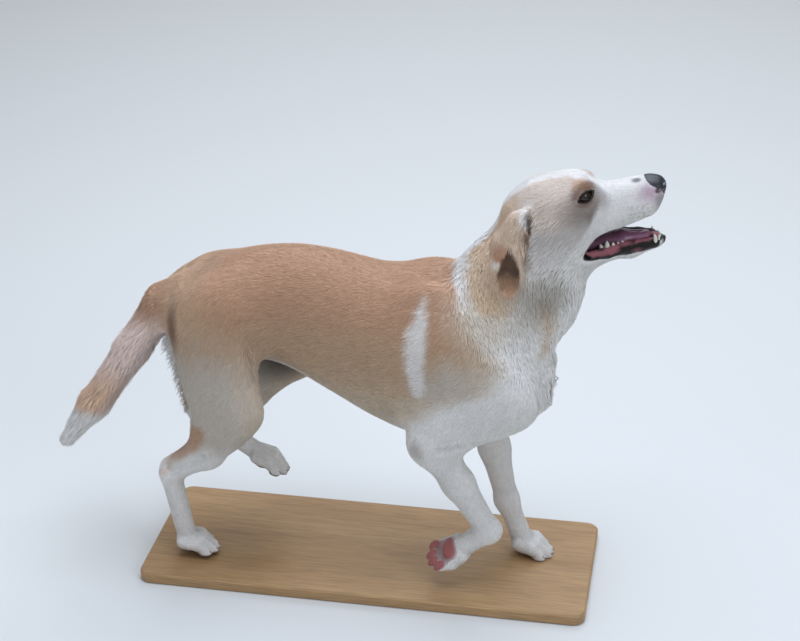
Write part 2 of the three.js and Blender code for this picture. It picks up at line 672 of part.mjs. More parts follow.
const headSolid = solidIn(bodyField, [126, -96, 470], [408, 96, 706], CELL.head);
let head = split(headSolid, [[HEAD_CUT, ALL_ACROSS]])[0];
[nodes.jaw, head] = split(head, [[JAW_CUT, ALL_ACROSS]], headTurn);
[nodes.nose, nodes.head] = split(head, [[NOSE_CUT, ALL_ACROSS]], headTurn);

// Things set into the flesh with a gap round them: ears, tongue, eyes.
function setIn(name, solid, pocket, hosts) {
  nodes[name] = solid;
  for (const host of hosts) nodes[host] = largest(nodes[host].subtract(pocket));
}

for (const [side, sign] of [["right", -1], ["left", 1]]) {
  const ear = earShapes(sign, EAR_HANG[side]);
  const [low, high] = [[90, sign < 0 ? -130 : 10, 470], [240, sign < 0 ? -10 : 130, 680]];
  const meshed = (grow) => solidIn((p) => ear.distance(p) - grow, low, high, CELL.ear);
  setIn("ear_" + side, meshed(0), meshed(SEAT), ["head", "neck"]);
}
const tongueIn = (grow) => {
  const field = (p) => tongue.distance(p) - grow;
  return solidIn(field, [230, -40, 500], [390, 80, 620], CELL.tongue);
};
setIn("tongue", tongueIn(0), tongueIn(SEAT), ["jaw", "head"]);

for (const [name, solid] of Object.entries(nodes)) {
  nodes[name] = thinned(solid, TRIANGLES[name.split("_")[0]]);
}

// The turn that lays a shape's own y axis along a direction.
function layAlong(direction) {
  const [up, to] = [new THREE.Vector3(0, 1, 0), new THREE.Vector3(...unit(direction))];
  return new THREE.Quaternion().setFromUnitVectors(up, to);
}

// A cone from its base to its tip.
function spike([from, to], radius) {
  const along = sub(to, from);
  const cone = new THREE.ConeGeometry(radius, size(along), 5).applyQuaternion(layAlong(along));
  return solidFrom(cone.translate(...between(from, to, 0.5)));
}

for (const [key, paw] of Object.entries(PAWS)) {
  const name = "paw_" + key.replace(/_r$/, "_right").replace(/_l$/, "_left");
  for (const { claw } of pawPlan(paw).toes) nodes[name] = nodes[name].add(spike(claw, 3.4));
}

// Teeth: base, tip and radius in the head's frame, each with its twin on the other side.
const TEETH = {
  jaw: [
    [[82, 13, -103], [89, 15, -84], 3.8],
    ...[2.2, 6.4, 10.2].map((y) => [[91 - y * 0.3, y, -101], [94 - y * 0.3, y, -91.5], 2.3]),
    ...[8, 27, 46].map((x) => [[x, 17 - x * 0.06, -103], [x, 17.5 - x * 0.06, -91 - x * 0.08], 4.4]),
  ],
  head: [
    [[82, 15, -48], [85, 16.5, -66], 4],
    ...[2.6, 7.4, 11.6].map((y) => [[97 - y * 0.4, y, -46], [98 - y * 0.4, y, -58], 2.6]),
  ],
};
for (const [host, teeth] of Object.entries(TEETH))
  for (const [from, to, radius] of teeth)
    for (const side of [-1, 1]) {
      const ends = [from, to].map(([x, y, z]) => onHead([x, y * side, z]));
      nodes[host] = nodes[host].add(spike(ends, radius));
    }

// An eye, and the almond-shaped opening between its lids.
for (const [side, sign] of [["right", -1], ["left", 1]]) {
  const mirrored = ([x, y, z]) => [x, y * sign, z];
  const centre = onHead(mirrored(EYE.centre));
  const ball = (radius) => solidFrom(new THREE.SphereGeometry(radius, 14, 9).translate(...centre));
  const n = unit(headwards(mirrored(EYE.facing)));
  const u = unit(headwards(mirrored(EYE.slit)));
  const v = unit(cross(n, u));
  const [a, b] = [EYE.long / 2, EYE.high / 2];
  const radius = (a * a + b * b) / (2 * b);
  const drum = (s) =>
    solidFrom(
      new THREE.CylinderGeometry(radius, radius, 30, 20)
        .applyQuaternion(layAlong(n))
        .translate(...add(add(centre, n, 17), v, s * (radius - b))),
    );
  const opening = drum(1).intersect(drum(-1));
  setIn("eye_" + side, ball(EYE.radius), ball(EYE.radius + CUT).add(opening), ["head"]);
}

// ---------------------------------------------------------------- display base

function baseSolid() {
  const { length, width, thick, corner, bevel, x, y } = BASE;
  const [a, b] = [length / 2 - bevel, width / 2 - bevel];
  const shape = new THREE.Shape();
  const c = corner - bevel;
  shape.moveTo(-a + c, -b).lineTo(a - c, -b).absarc(a - c, -b + c, c, -Math.PI / 2, 0);
  shape.lineTo(a, b - c).absarc(a - c, b - c, c, 0, Math.PI / 2);
  shape.lineTo(-a + c, b).absarc(-a + c, b - c, c, Math.PI / 2, Math.PI);
  shape.lineTo(-a, -b + c).absarc(-a + c, -b + c, c, Math.PI, 1.5 * Math.PI);
  const edge = { bevelThickness: bevel, bevelSize: bevel, bevelSegments: 1, curveSegments: 4 };
  const board = new THREE.ExtrudeGeometry(shape, { depth: thick - 2 * bevel, ...edge });
  return solidFrom(board.translate(x, y, bevel - thick - CUT));
}
nodes.stand_base = baseSolid();

// ---------------------------------------------------------------- the object

const materials = {
  coat: new THREE.MeshStandardMaterial({ color: 0xd9b98c, roughness: 0.9, metalness: 0 }),
  mouth: new THREE.MeshStandardMaterial({ color: 0x9c5f72, roughness: 0.4, metalness: 0 }),
  nose: new THREE.MeshStandardMaterial({ color: 0x2b2a2e, roughness: 0.5, metalness: 0 }),
  eye: new THREE.MeshStandardMaterial({ color: 0x3a2416, roughness: 0.1, metalness: 0 }),
  wood: new THREE.MeshStandardMaterial({ color: 0xb98d5a, roughness: 0.6, metalness: 0 }),
};
const madeOf = { tongue: "mouth", nose: "nose", eye_right: "eye", eye_left: "eye", stand_base: "wood" };

const dog = new THREE.Group();
for (const [name, solid] of Object.entries(nodes)) {
  const mesh = new THREE.Mesh(geometryOf(solid), materials[madeOf[name] ?? "coat"]);
  mesh.name = name;
  mesh.position.z = BASE.thick + CUT;
  dog.add(mesh);
}

export default dog;
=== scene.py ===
"""A young Labrador cross in mid trot: skin, coat, eyes and mouth of a life-size display model."""

import math

import bpy
import numpy as np
import openvdb
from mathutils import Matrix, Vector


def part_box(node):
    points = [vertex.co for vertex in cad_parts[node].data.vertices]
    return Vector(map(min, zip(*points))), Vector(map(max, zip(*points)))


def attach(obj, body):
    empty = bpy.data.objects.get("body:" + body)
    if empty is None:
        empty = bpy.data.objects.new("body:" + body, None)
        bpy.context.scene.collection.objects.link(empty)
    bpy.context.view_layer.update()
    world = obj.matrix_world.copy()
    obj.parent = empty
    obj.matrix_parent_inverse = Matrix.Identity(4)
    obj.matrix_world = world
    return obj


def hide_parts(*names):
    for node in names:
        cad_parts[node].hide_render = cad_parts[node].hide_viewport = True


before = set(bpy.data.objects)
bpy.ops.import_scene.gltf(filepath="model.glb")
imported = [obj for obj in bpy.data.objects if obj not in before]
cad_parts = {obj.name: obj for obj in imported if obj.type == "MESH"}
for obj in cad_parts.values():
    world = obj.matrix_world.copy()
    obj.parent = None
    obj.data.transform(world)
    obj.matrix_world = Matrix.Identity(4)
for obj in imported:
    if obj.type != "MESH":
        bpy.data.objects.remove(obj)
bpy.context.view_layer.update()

# ---------------------------------------------------------------- driving dimensions
# Body sizes are millimetres: +x the way the dog travels, +y its left, z up from the ground it treads.

MM = 0.001
SOLE_GAP = 0.4  # between the paws and the board
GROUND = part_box("stand_base")[1][2] / MM + SOLE_GAP

# Sampling steps (from, to, step): fine round the head and the paws, coarse along the trunk.
STEPS = {
    "x": [(-562, -384, 5), (-384, -176, 2.8), (-176, 52, 5.2), (52, 412, 2)],
    "y": [(-124, 124, 2.2)],
    "z": [(-16, 84, 2.6), (84, 464, 5.2), (464, 708, 2)],
}
SKIN_TRIANGLES = 186_000

JOINTS = {
    "blade_r": (50, -52, 466), "shoulder_r": (172, -76, 334), "elbow_r": (67, -88, 255),
    "carpus_r": (155, -76, 102), "knuckle_r": (107, -72, 60),
    "blade_l": (50, 52, 466), "shoulder_l": (172, 74, 338), "elbow_l": (124, 80, 240),
    "carpus_l": (168, 52, 84), "knuckle_l": (198, 36, 18),
    "hip_r": (-278, -56, 424), "knee_r": (-246, -86, 282), "hock_r": (-362, -68, 148),
    "foot_r": (-342, -60, 24),
    "hip_l": (-286, 56, 424), "knee_l": (-184, 88, 308), "hock_l": (-346, 62, 190),
    "foot_l": (-243, 52, 128),
}
J = {name: np.array(place, float) for name, place in JOINTS.items()}

# Each paw: where its knuckles are, the way its toes point, the way its back faces, how wide it is.
PAWS = {
    "fore_r": (J["knuckle_r"], (-0.76, 0, -0.65), (0.5, 0.5, -0.68), 1),
    "fore_l": (J["knuckle_l"], (1, -0.14, -0.02), (0, 0, 1), 1),
    "hind_r": (J["foot_r"], (1, 0.04, -0.02), (0, 0, 1), 0.92),
    "hind_l": (J["foot_l"], (0.97, -0.04, -0.24), (0.24, 0, 0.97), 0.92),
}

# Sections of the trunk: x, middle y, top, bottom, half-width, and how much wider the top is than the bottom.
TRUNK = [
    (-352, -6, 452, 404, 20, 0.0),
    (-325, -5, 474, 380, 46, 0.0),
    (-260, -2, 514, 350, 68, 0.1),
    (-180, 2, 530, 330, 74, 0.1),
    (-110, 4, 526, 291, 80, 0.1),
    (-40, 4, 511, 252, 90, 0.15),
    (30, 2, 502, 225, 93, 0.2),
    (90, 0, 486, 220, 88, 0.2),
    (150, -3, 466, 232, 78, 0.15),
    (203, -5, 438, 264, 58, 0.1),
    (240, -6, 374, 298, 22, 0.0),
]
TAIL = [(-330, -5, 446), (-374, -9, 424), (-427, -22, 345), (-490, -42, 250), (-535, -58, 190)]

# The head's own frame starts midway between the eyes, with x along the muzzle.
HEAD_AT = np.array([276.0, 12.0, 652.0])
HEAD_PITCH, HEAD_YAW = math.radians(14), math.radians(10)
EYE = {"centre": (-7, 27, 2), "radius": 13.0, "lid": 14.8}
EYE_FACING, EYE_SLIT = (0.48, 0.86, 0.16), (30, -13, 8)
EYE_LONG, EYE_HIGH = 29, 14
EYE_DOME = 1.0  # how far the clear dome stands over the ball
MOUTH = [
    (-30, 0, -85, -91, 34, 0),
    (-18, 0, -74, -98, 52, 0),
    (0, 0, -62, -103, 60, 0),
    (20, 0, -60, -106, 60, 0),
    (46, 0, -63, -108, 60, 0),
    (83, 0, -56, -103, 60, 0),
    (100, 0, -53, -97, 60, 0),
    (112, 0, -46, -94, 60, 0),
    (140, 0, -20, -94, 60, 0),
]
# Rows of (forwards, sideways, up, radius) along the lower lips, right (-1) and left, and the lower gums.
LIPS = {
    -1: [(-22, 37, -82, 3), (-12, 31.5, -95, 4), (12, 24, -101, 5.5), (40, 19, -101, 6),
         (62, 16.5, -103, 7), (82, 12.5, -104, 7), (94, 5, -104.5, 5.5), (97, 0, -104, 4)],
    1: [(-22, 38, -82, 5), (-10, 31, -92, 10), (12, 24, -94, 11.5), (40, 18.5, -93.5, 12.5),
        (62, 15, -96.5, 12), (80, 12.5, -100, 9.5), (93, 5, -104.5, 5.5), (97, 0, -104, 4)],
}
GUMS = [(-15, 30, -90, 4.5), (5, 22, -94, 5), (23, 18, -94, 5), (44, 15, -93, 5),
        (60, 12.5, -97, 5), (76, 10.5, -100, 5), (88, 4, -102, 4.5)]
# Rows down the ear flap: middle, half-width, half-thickness.
EAR = [
    ((-86, 40, -2), 13, 9),
    ((-106, 50, -9), 19, 8),
    ((-127, 56, -33), 21, 6),
    ((-134, 60, -70), 21, 4.5),
    ((-139, 63, -95), 19, 3.6),
    ((-142, 65, -106), 13, 3),
]
EAR_HANG = {-1: (0, 0, 0), 1: (17, 5, -13)}  # how far each ear is moved forwards, outwards and up
EAR_CUP = [((-129, 76.5, -50), 13), ((-136, 78, -76), 18.5), ((-141, 78, -96), 15.5)]
EAR_CANAL = (-103, 68, -34)

# ---------------------------------------------------------------- small maths

TINY = 1e-6


def unit(v):
    return np.asarray(v, float) / np.linalg.norm(v)


def between(a, b, t):
    return a + (b - a) * t


def fade(value, start, end):
    """0 before start, 1 after end, smooth between."""
    t = np.clip((value - start) / (end - start), 0, 1)
    return t * t * (3 - 2 * t)


def length_of(rows):
    return np.sqrt((rows * rows).sum(axis=-1))


def steady(vectors):
    """Unit vectors, safe where one has no length."""
    return vectors / np.maximum(length_of(vectors), TINY)[..., None]


def noise(points, size, seed):
    """Smooth noise from -1 to 1 whose lumps are about size across."""
    scaled = points / size
    corner = np.floor(scaled).astype(np.int64)
    t = scaled - corner
    t = t * t * (3 - 2 * t)
    total = np.zeros(len(points))
    for step in np.ndindex(2, 2, 2):
        at = (corner + step) * (73856093, 19349663, 83492791)
        mixed = (at[:, 0] ^ at[:, 1] ^ at[:, 2]) + seed * 7919
        mixed = ((mixed ^ (mixed >> 13)) * 1274126177) & 0x7FFFFFFF
        share = np.prod(np.where(step, t, 1 - t), axis=1)
        total += share * (mixed % 4096 / 2047.5 - 1)
    return total


# ---------------------------------------------------------------- the head's frame

_cy, _sy = math.cos(HEAD_YAW), math.sin(HEAD_YAW)
_cp, _sp = math.cos(HEAD_PITCH), math.sin(HEAD_PITCH)
HEAD_TURN = np.array([[_cy, -_sy, 0], [_sy, _cy, 0], [0, 0, 1]]) @ np.array(
    [[_cp, 0, -_sp], [0, 1, 0], [_sp, 0, _cp]]
)
HEAD_AXES = HEAD_TURN.T


def on_head(point):
    return HEAD_AT + HEAD_TURN @ np.asarray(point, float)


def to_head(points):
    return (points - HEAD_AT) @ HEAD_TURN


# ---------------------------------------------------------------- sampled space


class Space:
    """Sample points on three axes, each with steps of its own."""

    def __init__(self, axes):
        self.axes = axes
        self.shape = tuple(len(axis) for axis in axes)

    @classmethod
    def stepped(cls, steps):
        axes = []
        for stretches in steps.values():
            runs = [np.linspace(a, b, round((b - a) / step), endpoint=False) for a, b, step in stretches]
            axes.append(np.append(np.concatenate(runs), stretches[-1][1]).astype(np.float32))
        return cls(axes)

    @classmethod
    def box(cls, low, high, step):
        return cls([np.arange(a, b, step, dtype=np.float32) for a, b in zip(low, high)])

    def block(self, low, high):
        return tuple(slice(*np.searchsorted(axis, (a, b))) for axis, a, b in zip(self.axes, low, high))

    def part(self, block):
        return Space([axis[run] for axis, run in zip(self.axes, block)])

    def points(self):
        return np.meshgrid(*self.axes, indexing="ij", sparse=True)

    def read(self, values, points):
        """The sampled values at any points, and which way they rise."""
        index, share, step = [], [], []
        for axis, place in zip(self.axes, points.T):
            i = np.clip(np.searchsorted(axis, place) - 1, 0, len(axis) - 2)
            gap = axis[i + 1] - axis[i]
            index.append(i)
            step.append(gap)
            share.append(np.clip((place - axis[i]) / gap, 0, 1))
        total = np.zeros(len(points))
        slope = np.zeros((len(points), 3))
        for corner in np.ndindex(2, 2, 2):
            found = values[tuple(i + c for i, c in zip(index, corner))]
            weights = [t if c else 1 - t for t, c in zip(share, corner)]
            total += found * weights[0] * weights[1] * weights[2]
            for axis in range(3):
                a, b = (weights[k] for k in range(3) if k != axis)
                slope[:, axis] += (1 if corner[axis] else -1) * found * a * b / step[axis]
        return total, slope


def along_axes(space, origin, axes):
    """The sample points' places, measured from an origin along three axes."""
    offset = [p - v for p, v in zip(space.points(), origin)]
    return [sum(o * v for o, v in zip(offset, axis)) for axis in axes]


FAR = 60.0  # mm, a distance that counts as outside everything


class Shape:
    """Flesh as a distance from its surface, below 0 inside; reach is how far out it still counts."""

    def __init__(self, distance, low, high, blend, reach=36.0):
        self.distance, self.low, self.high = distance, np.asarray(low), np.asarray(high)
        self.blend, self.reach = blend, reach


def smooth_min(a, b, k):
    h = np.maximum(k - np.abs(a - b), 0) / k
    return np.minimum(a, b) - h * h * (k / 4)


def join(values, space, shape):
    block = space.block(shape.low - shape.reach, shape.high + shape.reach)
    part = space.part(block)
    if min(part.shape) > 0:
        values[block] = smooth_min(values[block], shape.distance(part), shape.blend)


def carve(values, space, shape):
    block = space.block(shape.low - shape.blend, shape.high + shape.blend)
    part = space.part(block)
    if min(part.shape) > 0:
        values[block] = -smooth_min(-values[block], shape.distance(part), shape.blend)


def group(shapes, blend):
    """Shapes joined one after another, to be joined to the rest with blend."""

    def distance(space):
        values = np.full(space.shape, FAR, np.float32)
        for shape in shapes:
            join(values, space, shape)
        return values

    low = np.min([s.low for s in shapes], axis=0)
    high = np.max([s.high for s in shapes], axis=0)
    return Shape(distance, low, high, blend)


# ---------------------------------------------------------------- kinds of shape


def limb(a, b, ra, rb, side=(0, 1, 0), flat=1.0, blend=20.0, reach=36.0):
    """A tapered limb from a to b; flat squashes it along side."""
    a, b, side = np.asarray(a, float), np.asarray(b, float), unit(side)
    along = b - a

    def distance(space):
        offset = [p - v for p, v in zip(space.points(), a)]
        t = sum(o * v for o, v in zip(offset, along)) / (along @ along)
        t = np.clip(t, 0, 1)
        q = [o - t * v for o, v in zip(offset, along)]
        if flat != 1:
            across = sum(o * v for o, v in zip(q, side)) * (1 / flat - 1)
            q = [o + across * v for o, v in zip(q, side)]
        wide = np.sqrt(q[0] * q[0] + q[1] * q[1] + q[2] * q[2])
        return (wide - (ra + (rb - ra) * t)) * min(1, flat)

    r = max(ra, rb) * max(1, flat)
    return Shape(distance, np.minimum(a, b) - r, np.maximum(a, b) + r, blend, reach)


def blob(centre, radii, axes=np.eye(3), blend=15.0, reach=36.0):
    """An ellipsoid with half-axes radii along the given axes."""

    def distance(space):
        q = [place / r for place, r in zip(along_axes(space, centre, axes), radii)]
        k0 = np.sqrt(q[0] ** 2 + q[1] ** 2 + q[2] ** 2)
        k1 = np.sqrt((q[0] / radii[0]) ** 2 + (q[1] / radii[1]) ** 2 + (q[2] / radii[2]) ** 2)
        return k0 * (k0 - 1) / np.maximum(k1, TINY)

    r = max(radii)
    return Shape(distance, centre - r, centre + r, blend, reach)


def section_at(table, x):
    """The values of a section table at x, on a smooth curve through its rows."""
    rows = np.array(table, float)
    xs, values = rows[:, 0], rows[:, 1:]
    slopes = np.empty_like(values)
    slopes[1:-1] = (values[2:] - values[:-2]) / (xs[2:] - xs[:-2])[:, None]
    slopes[0] = (values[1] - values[0]) / (xs[1] - xs[0])
    slopes[-1] = (values[-1] - values[-2]) / (xs[-1] - xs[-2])
    i = np.clip(np.searchsorted(xs, x) - 1, 0, len(xs) - 2)
    h = xs[i + 1] - xs[i]
    t = np.clip((x - xs[i]) / h, 0, 1)
    ends = [2 * t**3 - 3 * t**2 + 1, 3 * t**2 - 2 * t**3]
    bends = [t**3 - 2 * t**2 + t, t**3 - t**2]
    found = []
    for column in range(values.shape[1]):
        v, m = values[:, column], slopes[:, column]
        found.append(ends[0] * v[i] + ends[1] * v[i + 1] + h * (bends[0] * m[i] + bends[1] * m[i + 1]))
    return found


def barrel(table, low, high, blend=20.0, in_head=False):
    """A barrel along x through a section table's rows."""
    first, last = table[0][0], table[-1][0]

    def distance(space):
        x, y, z = along_axes(space, HEAD_AT, HEAD_AXES) if in_head else space.points()
        mid, top, bottom, half, high_share = section_at(table, x)
        tall = np.maximum(1, (top - bottom) / 2)
        up = z - (top + bottom) / 2
        wide = np.maximum(1, half * (1 + high_share * np.clip(up / tall, -1, 1)))
        k0 = np.hypot(up / tall, (y - mid) / wide)
        k1 = np.hypot(up / tall**2, (y - mid) / wide**2)
        inside = k0 * (k0 - 1) / np.maximum(k1, TINY)
        beyond = np.maximum(0, np.maximum(first - x, x - last))
        return np.where(beyond > 0, np.hypot(np.maximum(0, inside), beyond), inside)

    return Shape(distance, low, high, blend)


def hollowed(shape, hollows, reach=None):
    """A shape with other shapes carved out of it."""
    whole = shape.distance

    def distance(space):
        values = whole(space)
        for hollow in hollows:
            carve(values, space, hollow)
        return values

    shape.distance = distance
    shape.reach = reach or shape.reach
    return shape


# ---------------------------------------------------------------- the body's shapes


def trunk_shapes():
    return [
        barrel(TRUNK, (-400, -120, 200), (280, 120, 550), blend=1),
        limb((114, -1, 400), (181, 0, 487), 93, 86, flat=0.74, blend=50, reach=56),  # neck
        limb((181, 0, 487), (226, 4, 572), 85, 69, flat=0.76, blend=40, reach=46),
    ]


def tail_shapes():
    root, croup, middle, low, tip = TAIL
    return [
        limb(root, croup, 32, 30, blend=25),
        limb(croup, middle, 29, 27, blend=15),
        limb(middle, low, 27, 24, blend=15),
        limb((low[0] - 2, low[1], low[2]), tip, 24, 12, blend=15),
    ]


def paw_plan(paw):
    """A paw's axes and its four toes as (root, knuckle, tip, claw base, claw tip)."""
    at, out, up, width = paw
    forward = unit(out)
    side = unit(np.cross(unit(up), forward))
    upward = np.cross(forward, side)

    def place(x, y, z):
        return at + forward * x + side * y + upward * z

    toes = []
    for i in (-1.5, -0.5, 0.5, 1.5):
        inner = abs(i) < 1
        reach = 1 if inner else 0.78
        y = i * 13 * width
        toes.append((
            place(-4, i * 10, 0),
            place(22 * reach, y, 1 if inner else -1),
            place(42 * reach, y * 1.03, -11),
            place(42 * reach, y * 1.04, -9),
            place(42 * reach + 13, y * 1.06, -14),
        ))
    return place, toes, (forward, side, upward)


def paw_shapes(paw):
    place, toes, axes = paw_plan(paw)
    shapes = [blob(place(7, 0, -12), (16, 19 * paw[3], 9), axes, blend=8)]
    for root, knuckle, tip, _, _ in toes:
        shapes.append(limb(root, knuckle, 11.5, 9.8, blend=6, reach=20))
        shapes.append(limb(knuckle, tip, 9.8, 7.6, blend=4, reach=20))
        shapes.append(blob(tip - axes[2] * 4, (11, 8, 5.5), axes, blend=3, reach=20))
    return shapes


def fore_joints(side):
    return [J[name + side] for name in ("blade", "shoulder", "elbow", "carpus", "knuckle")]


def hind_joints(side):
    return [J[name + side] for name in ("hip", "knee", "hock", "foot")]


LEG_BLEND = 34  # mm over which a leg or the head runs into the trunk
# The folds inside the bend of the raised right foreleg, as (from, to), measured from the elbow.
ELBOW_FOLDS = {"_r": [((14, -26, 6), (45, -22, 10)), ((45, -22, 10), (76, -13, 13))], "_l": []}


def fore_leg(side):
    blade, shoulder, elbow, carpus, knuckle = fore_joints(side)
    mid = between(elbow, carpus, 0.45)
    point = elbow + unit(elbow - carpus) * 14 + unit(elbow - shoulder) * 12
    folds = [limb(elbow + a, elbow + b, 2.5, 4, blend=5) for a, b in ELBOW_FOLDS[side]]
    return hollowed(group([
        limb(blade, shoulder, 36, 43, flat=0.5, blend=1),
        limb(shoulder, elbow, 45, 34, flat=0.66, blend=30),
        limb(between(blade, elbow, 0.35), elbow, 48, 25, flat=0.55, blend=30),
        blob(point, (13, 13, 13), blend=14),
        limb(elbow, mid, 30, 25, flat=0.85, blend=10),
        limb(mid, carpus, 25, 18, flat=0.85, blend=12),
        blob(carpus, (19, 18, 20), blend=12),
        limb(carpus, knuckle, 17.5, 17.5, blend=10),
        *paw_shapes(PAWS["fore" + side]),
    ], LEG_BLEND), folds)


def hind_leg(side, ischium, share):
    """A hind leg whose hamstring ends a share of the way from knee to heel.

    A sheet of flesh fills the thigh in front of the hamstring, and a groove on each side parts the
    shin from the tendon.
    """
    hip, knee, hock, foot = hind_joints(side)
    down = unit(hock - knee)
    ahead = unit((-down[2], 0, down[0]))
    calf = between(knee, hock, 0.55) + ahead * 18
    cord = between(knee, hock, 0.56)
    heel = hock + unit(hock - foot) * 22 + down * 4
    grooves = [
        limb(hock + (8, out * 15, 16), cord + (8, out * (18 + 6 * share), -10), 6, 8, blend=9)
        for out in (-1, 1)
    ]
    return hollowed(group([
        limb(hip, knee, 66, 38, flat=0.6, blend=1),
        limb(ischium, between(knee, heel, share), 42, 26, flat=0.62, blend=30),
        limb(between(hip, ischium, 0.5), between(knee, heel, share * 0.6),
             61 * share, 36 * share, flat=0.45, blend=24),
        limb(knee, calf, 37, 25, flat=0.6, blend=24),
        limb(calf, hock, 23, 16, flat=0.75, blend=14),
        limb(between(knee, heel, share * 0.8), cord, 26, 14, flat=0.7, blend=14),
        limb(cord, heel, 14, 9.5, flat=0.8, blend=6),
        limb(hock, foot, 17.5, 16, flat=0.92, blend=12),
        *paw_shapes(PAWS["hind" + side]),
    ], LEG_BLEND), grooves)


def head_blob(at, radii, blend=12.0, reach=20.0):
    """A blob in the head's frame, or its mirrored pair when it lies to one side."""
    sides = (-1, 1) if at[1] else (1,)
    return [blob(on_head((at[0], at[1] * s, at[2])), radii, HEAD_AXES, blend, reach) for s in sides]


def head_limb(a, b, ra, rb, flat=1.0, blend=12.0, reach=24.0):
    sides = (-1, 1) if a[1] or b[1] else (1,)
    return [
        limb(on_head((a[0], a[1] * s, a[2])), on_head((b[0], b[1] * s, b[2])), ra, rb,
             HEAD_AXES[1], flat, blend, reach)
        for s in sides
    ]


def head_shapes():
    lid = EYE["lid"]
    return [
        *head_blob((-58, 0, -8), (54, 47, 44), 1, 36),  # skull
        *head_blob((-20, 0, 1), (35, 34, 33), 18),  # forehead
        *head_blob((-94, 0, -3), (24, 22, 18), 20, 36),  # occiput
        *head_blob((-44, 24, -34), (42, 27, 42), 22),  # cheek muscle
        *head_limb((4, 27, -17), (-52, 43, -26), 10, 10, blend=16),  # cheekbone
        *head_blob((-2, 21, 11), (17, 12, 9), 16),  # brow
        *head_limb((20, 0, -30), (90, 0, -27), 31, 23, flat=1.0, blend=26),  # muzzle
        *head_limb((36, 0, -11), (94, 0, -13), 11, 11, flat=1.3, blend=14),  # bridge of the muzzle
        *head_limb((8, 17, -52), (82, 14, -42), 19, 17, flat=0.9),  # upper lips
        *head_blob((104, 0, -18), (13, 18, 14), 5),  # nose
        *head_limb((-38, 0, -80), (46, 0, -102), 34, 20, flat=0.95, blend=18),  # lower jaw
        *head_limb((46, 0, -102), (84, 0, -103), 20, 14, flat=1.05, blend=10),  # chin
        *head_blob((-84, 0, -52), (44, 46, 48), 30, 36),  # throat
        *head_blob(EYE["centre"], (lid, lid, lid), 7),  # eyelids
    ]


def mouth_hollows():
    return [
        barrel(MOUTH, (216, -60, 520), (420, 90, 680), blend=6, in_head=True),
        *head_limb((-12, 0, -66), (84, 0, -54), 14, 12, flat=1.1, blend=6),  # palate
        *head_limb((-6, 0, -100), (74, 0, -98), 12, 9, blend=6),  # floor of the mouth
    ]


def nostrils(grow=0.0):
    return [
        *head_blob((115, 8.5, -16), (8 + grow, 4 + grow, 4.5 + grow), 3),
        *head_blob((108, 17, -20), (8 + grow, 5 + grow, 2.5 + grow), 3),
    ]


def mouth_chain(rows, side, flat, blend):
    """Limbs through rows of (forwards, sideways, up, radius) on one side of the mouth."""
    places = [(on_head((x, y * side, z)), r) for x, y, z, r in rows]
    return [
        limb(a, b, ra, rb, HEAD_AXES[1], flat, blend, 12)
        for (a, ra), (b, rb) in zip(places, places[1:])
    ]


def lips(side):
    """The slack black lip along the lower jaw, which stands higher on the dog's left."""
    return mouth_chain(LIPS[side], side, 0.5, 1.5)


def gums(side):
    return mouth_chain([(x, y, z + (2 if side > 0 else 0), r) for x, y, z, r in GUMS], side, 0.9, 1.5)


def on_ear(side, point):
    """A place on an ear, from the same place on the right ear in the head's frame."""
    x, y, z = np.add(point, EAR_HANG[side])
    return on_head((x, side * y, z))


def ear_rows(side):
    return [(on_ear(side, middle), half, thick / half) for middle, half, thick in EAR]


def ear(side):
    """One ear, a flap that hangs with its hollow side outwards."""
    rows = ear_rows(side)
    flap = group([
        limb(a, b, ra, rb, HEAD_AXES[1], (fa + fb) / 2, blend=8, reach=20)
        for (a, ra, fa), (b, rb, fb) in zip(rows, rows[1:])
    ], 5)
    hollows = [
        limb(on_ear(side, a), on_ear(side, b), ra, rb, blend=2.5, reach=4)
        for (a, ra), (b, rb) in zip(EAR_CUP, EAR_CUP[1:])
    ]
    hollows.append(blob(on_ear(side, EAR_CANAL), (8, 14, 18), HEAD_AXES, 4))
    return hollowed(flap, hollows, 20)


def eye_frame(side):
    """An eye's centre, and the ways it looks, its slit runs and its upper lid lies."""
    centre = on_head(np.array(EYE["centre"]) * (1, side, 1))
    look = unit(HEAD_TURN @ (np.array(EYE_FACING) * (1, side, 1)))
    slit = unit(HEAD_TURN @ (np.array(EYE_SLIT) * (1, side, 1)))
    slit = unit(slit - look * (slit @ look))
    return centre, look, slit, np.cross(look, slit) * side


def slit_half(u):
    """Half the height of the gap between the lids, u along it from its middle."""
    return EYE_HIGH / 2 * (1 - (2 * u / EYE_LONG) ** 2)


def off_slit(u, v):
    """About how far outside the gap a place is; the factor allows for the slope of its edge."""
    return (np.abs(v) - slit_half(u)) * 0.75


def eye_opening(side):
    """The almond-shaped gap between the lids."""
    centre, look, slit, up = eye_frame(side)

    def distance(space):
        u, v, w = along_axes(space, centre, (slit, up, look))
        return np.maximum(off_slit(u, v), 5 - w)

    return Shape(distance, centre - 20, centre + 20, 1.5)


def body_values(space):
    """The whole dog's field: body, mouth and ears."""
    values = np.full(space.shape, FAR, np.float32)
    shapes = [
        *trunk_shapes(),
        group(tail_shapes(), 20),
        fore_leg("_r"),
        fore_leg("_l"),
        hind_leg("_r", (-312, -48, 398), 0.33),
        hind_leg("_l", (-362, 44, 390), 0.88),
        group(head_shapes(), LEG_BLEND),
    ]
    for shape in shapes:
        join(values, space, shape)
    for shape in mouth_hollows():
        carve(values, space, shape)
    for side in (-1, 1):
        for shape in [*lips(side), *gums(side), ear(side)]:
            join(values, space, shape)
    return values


# ---------------------------------------------------------------- colours

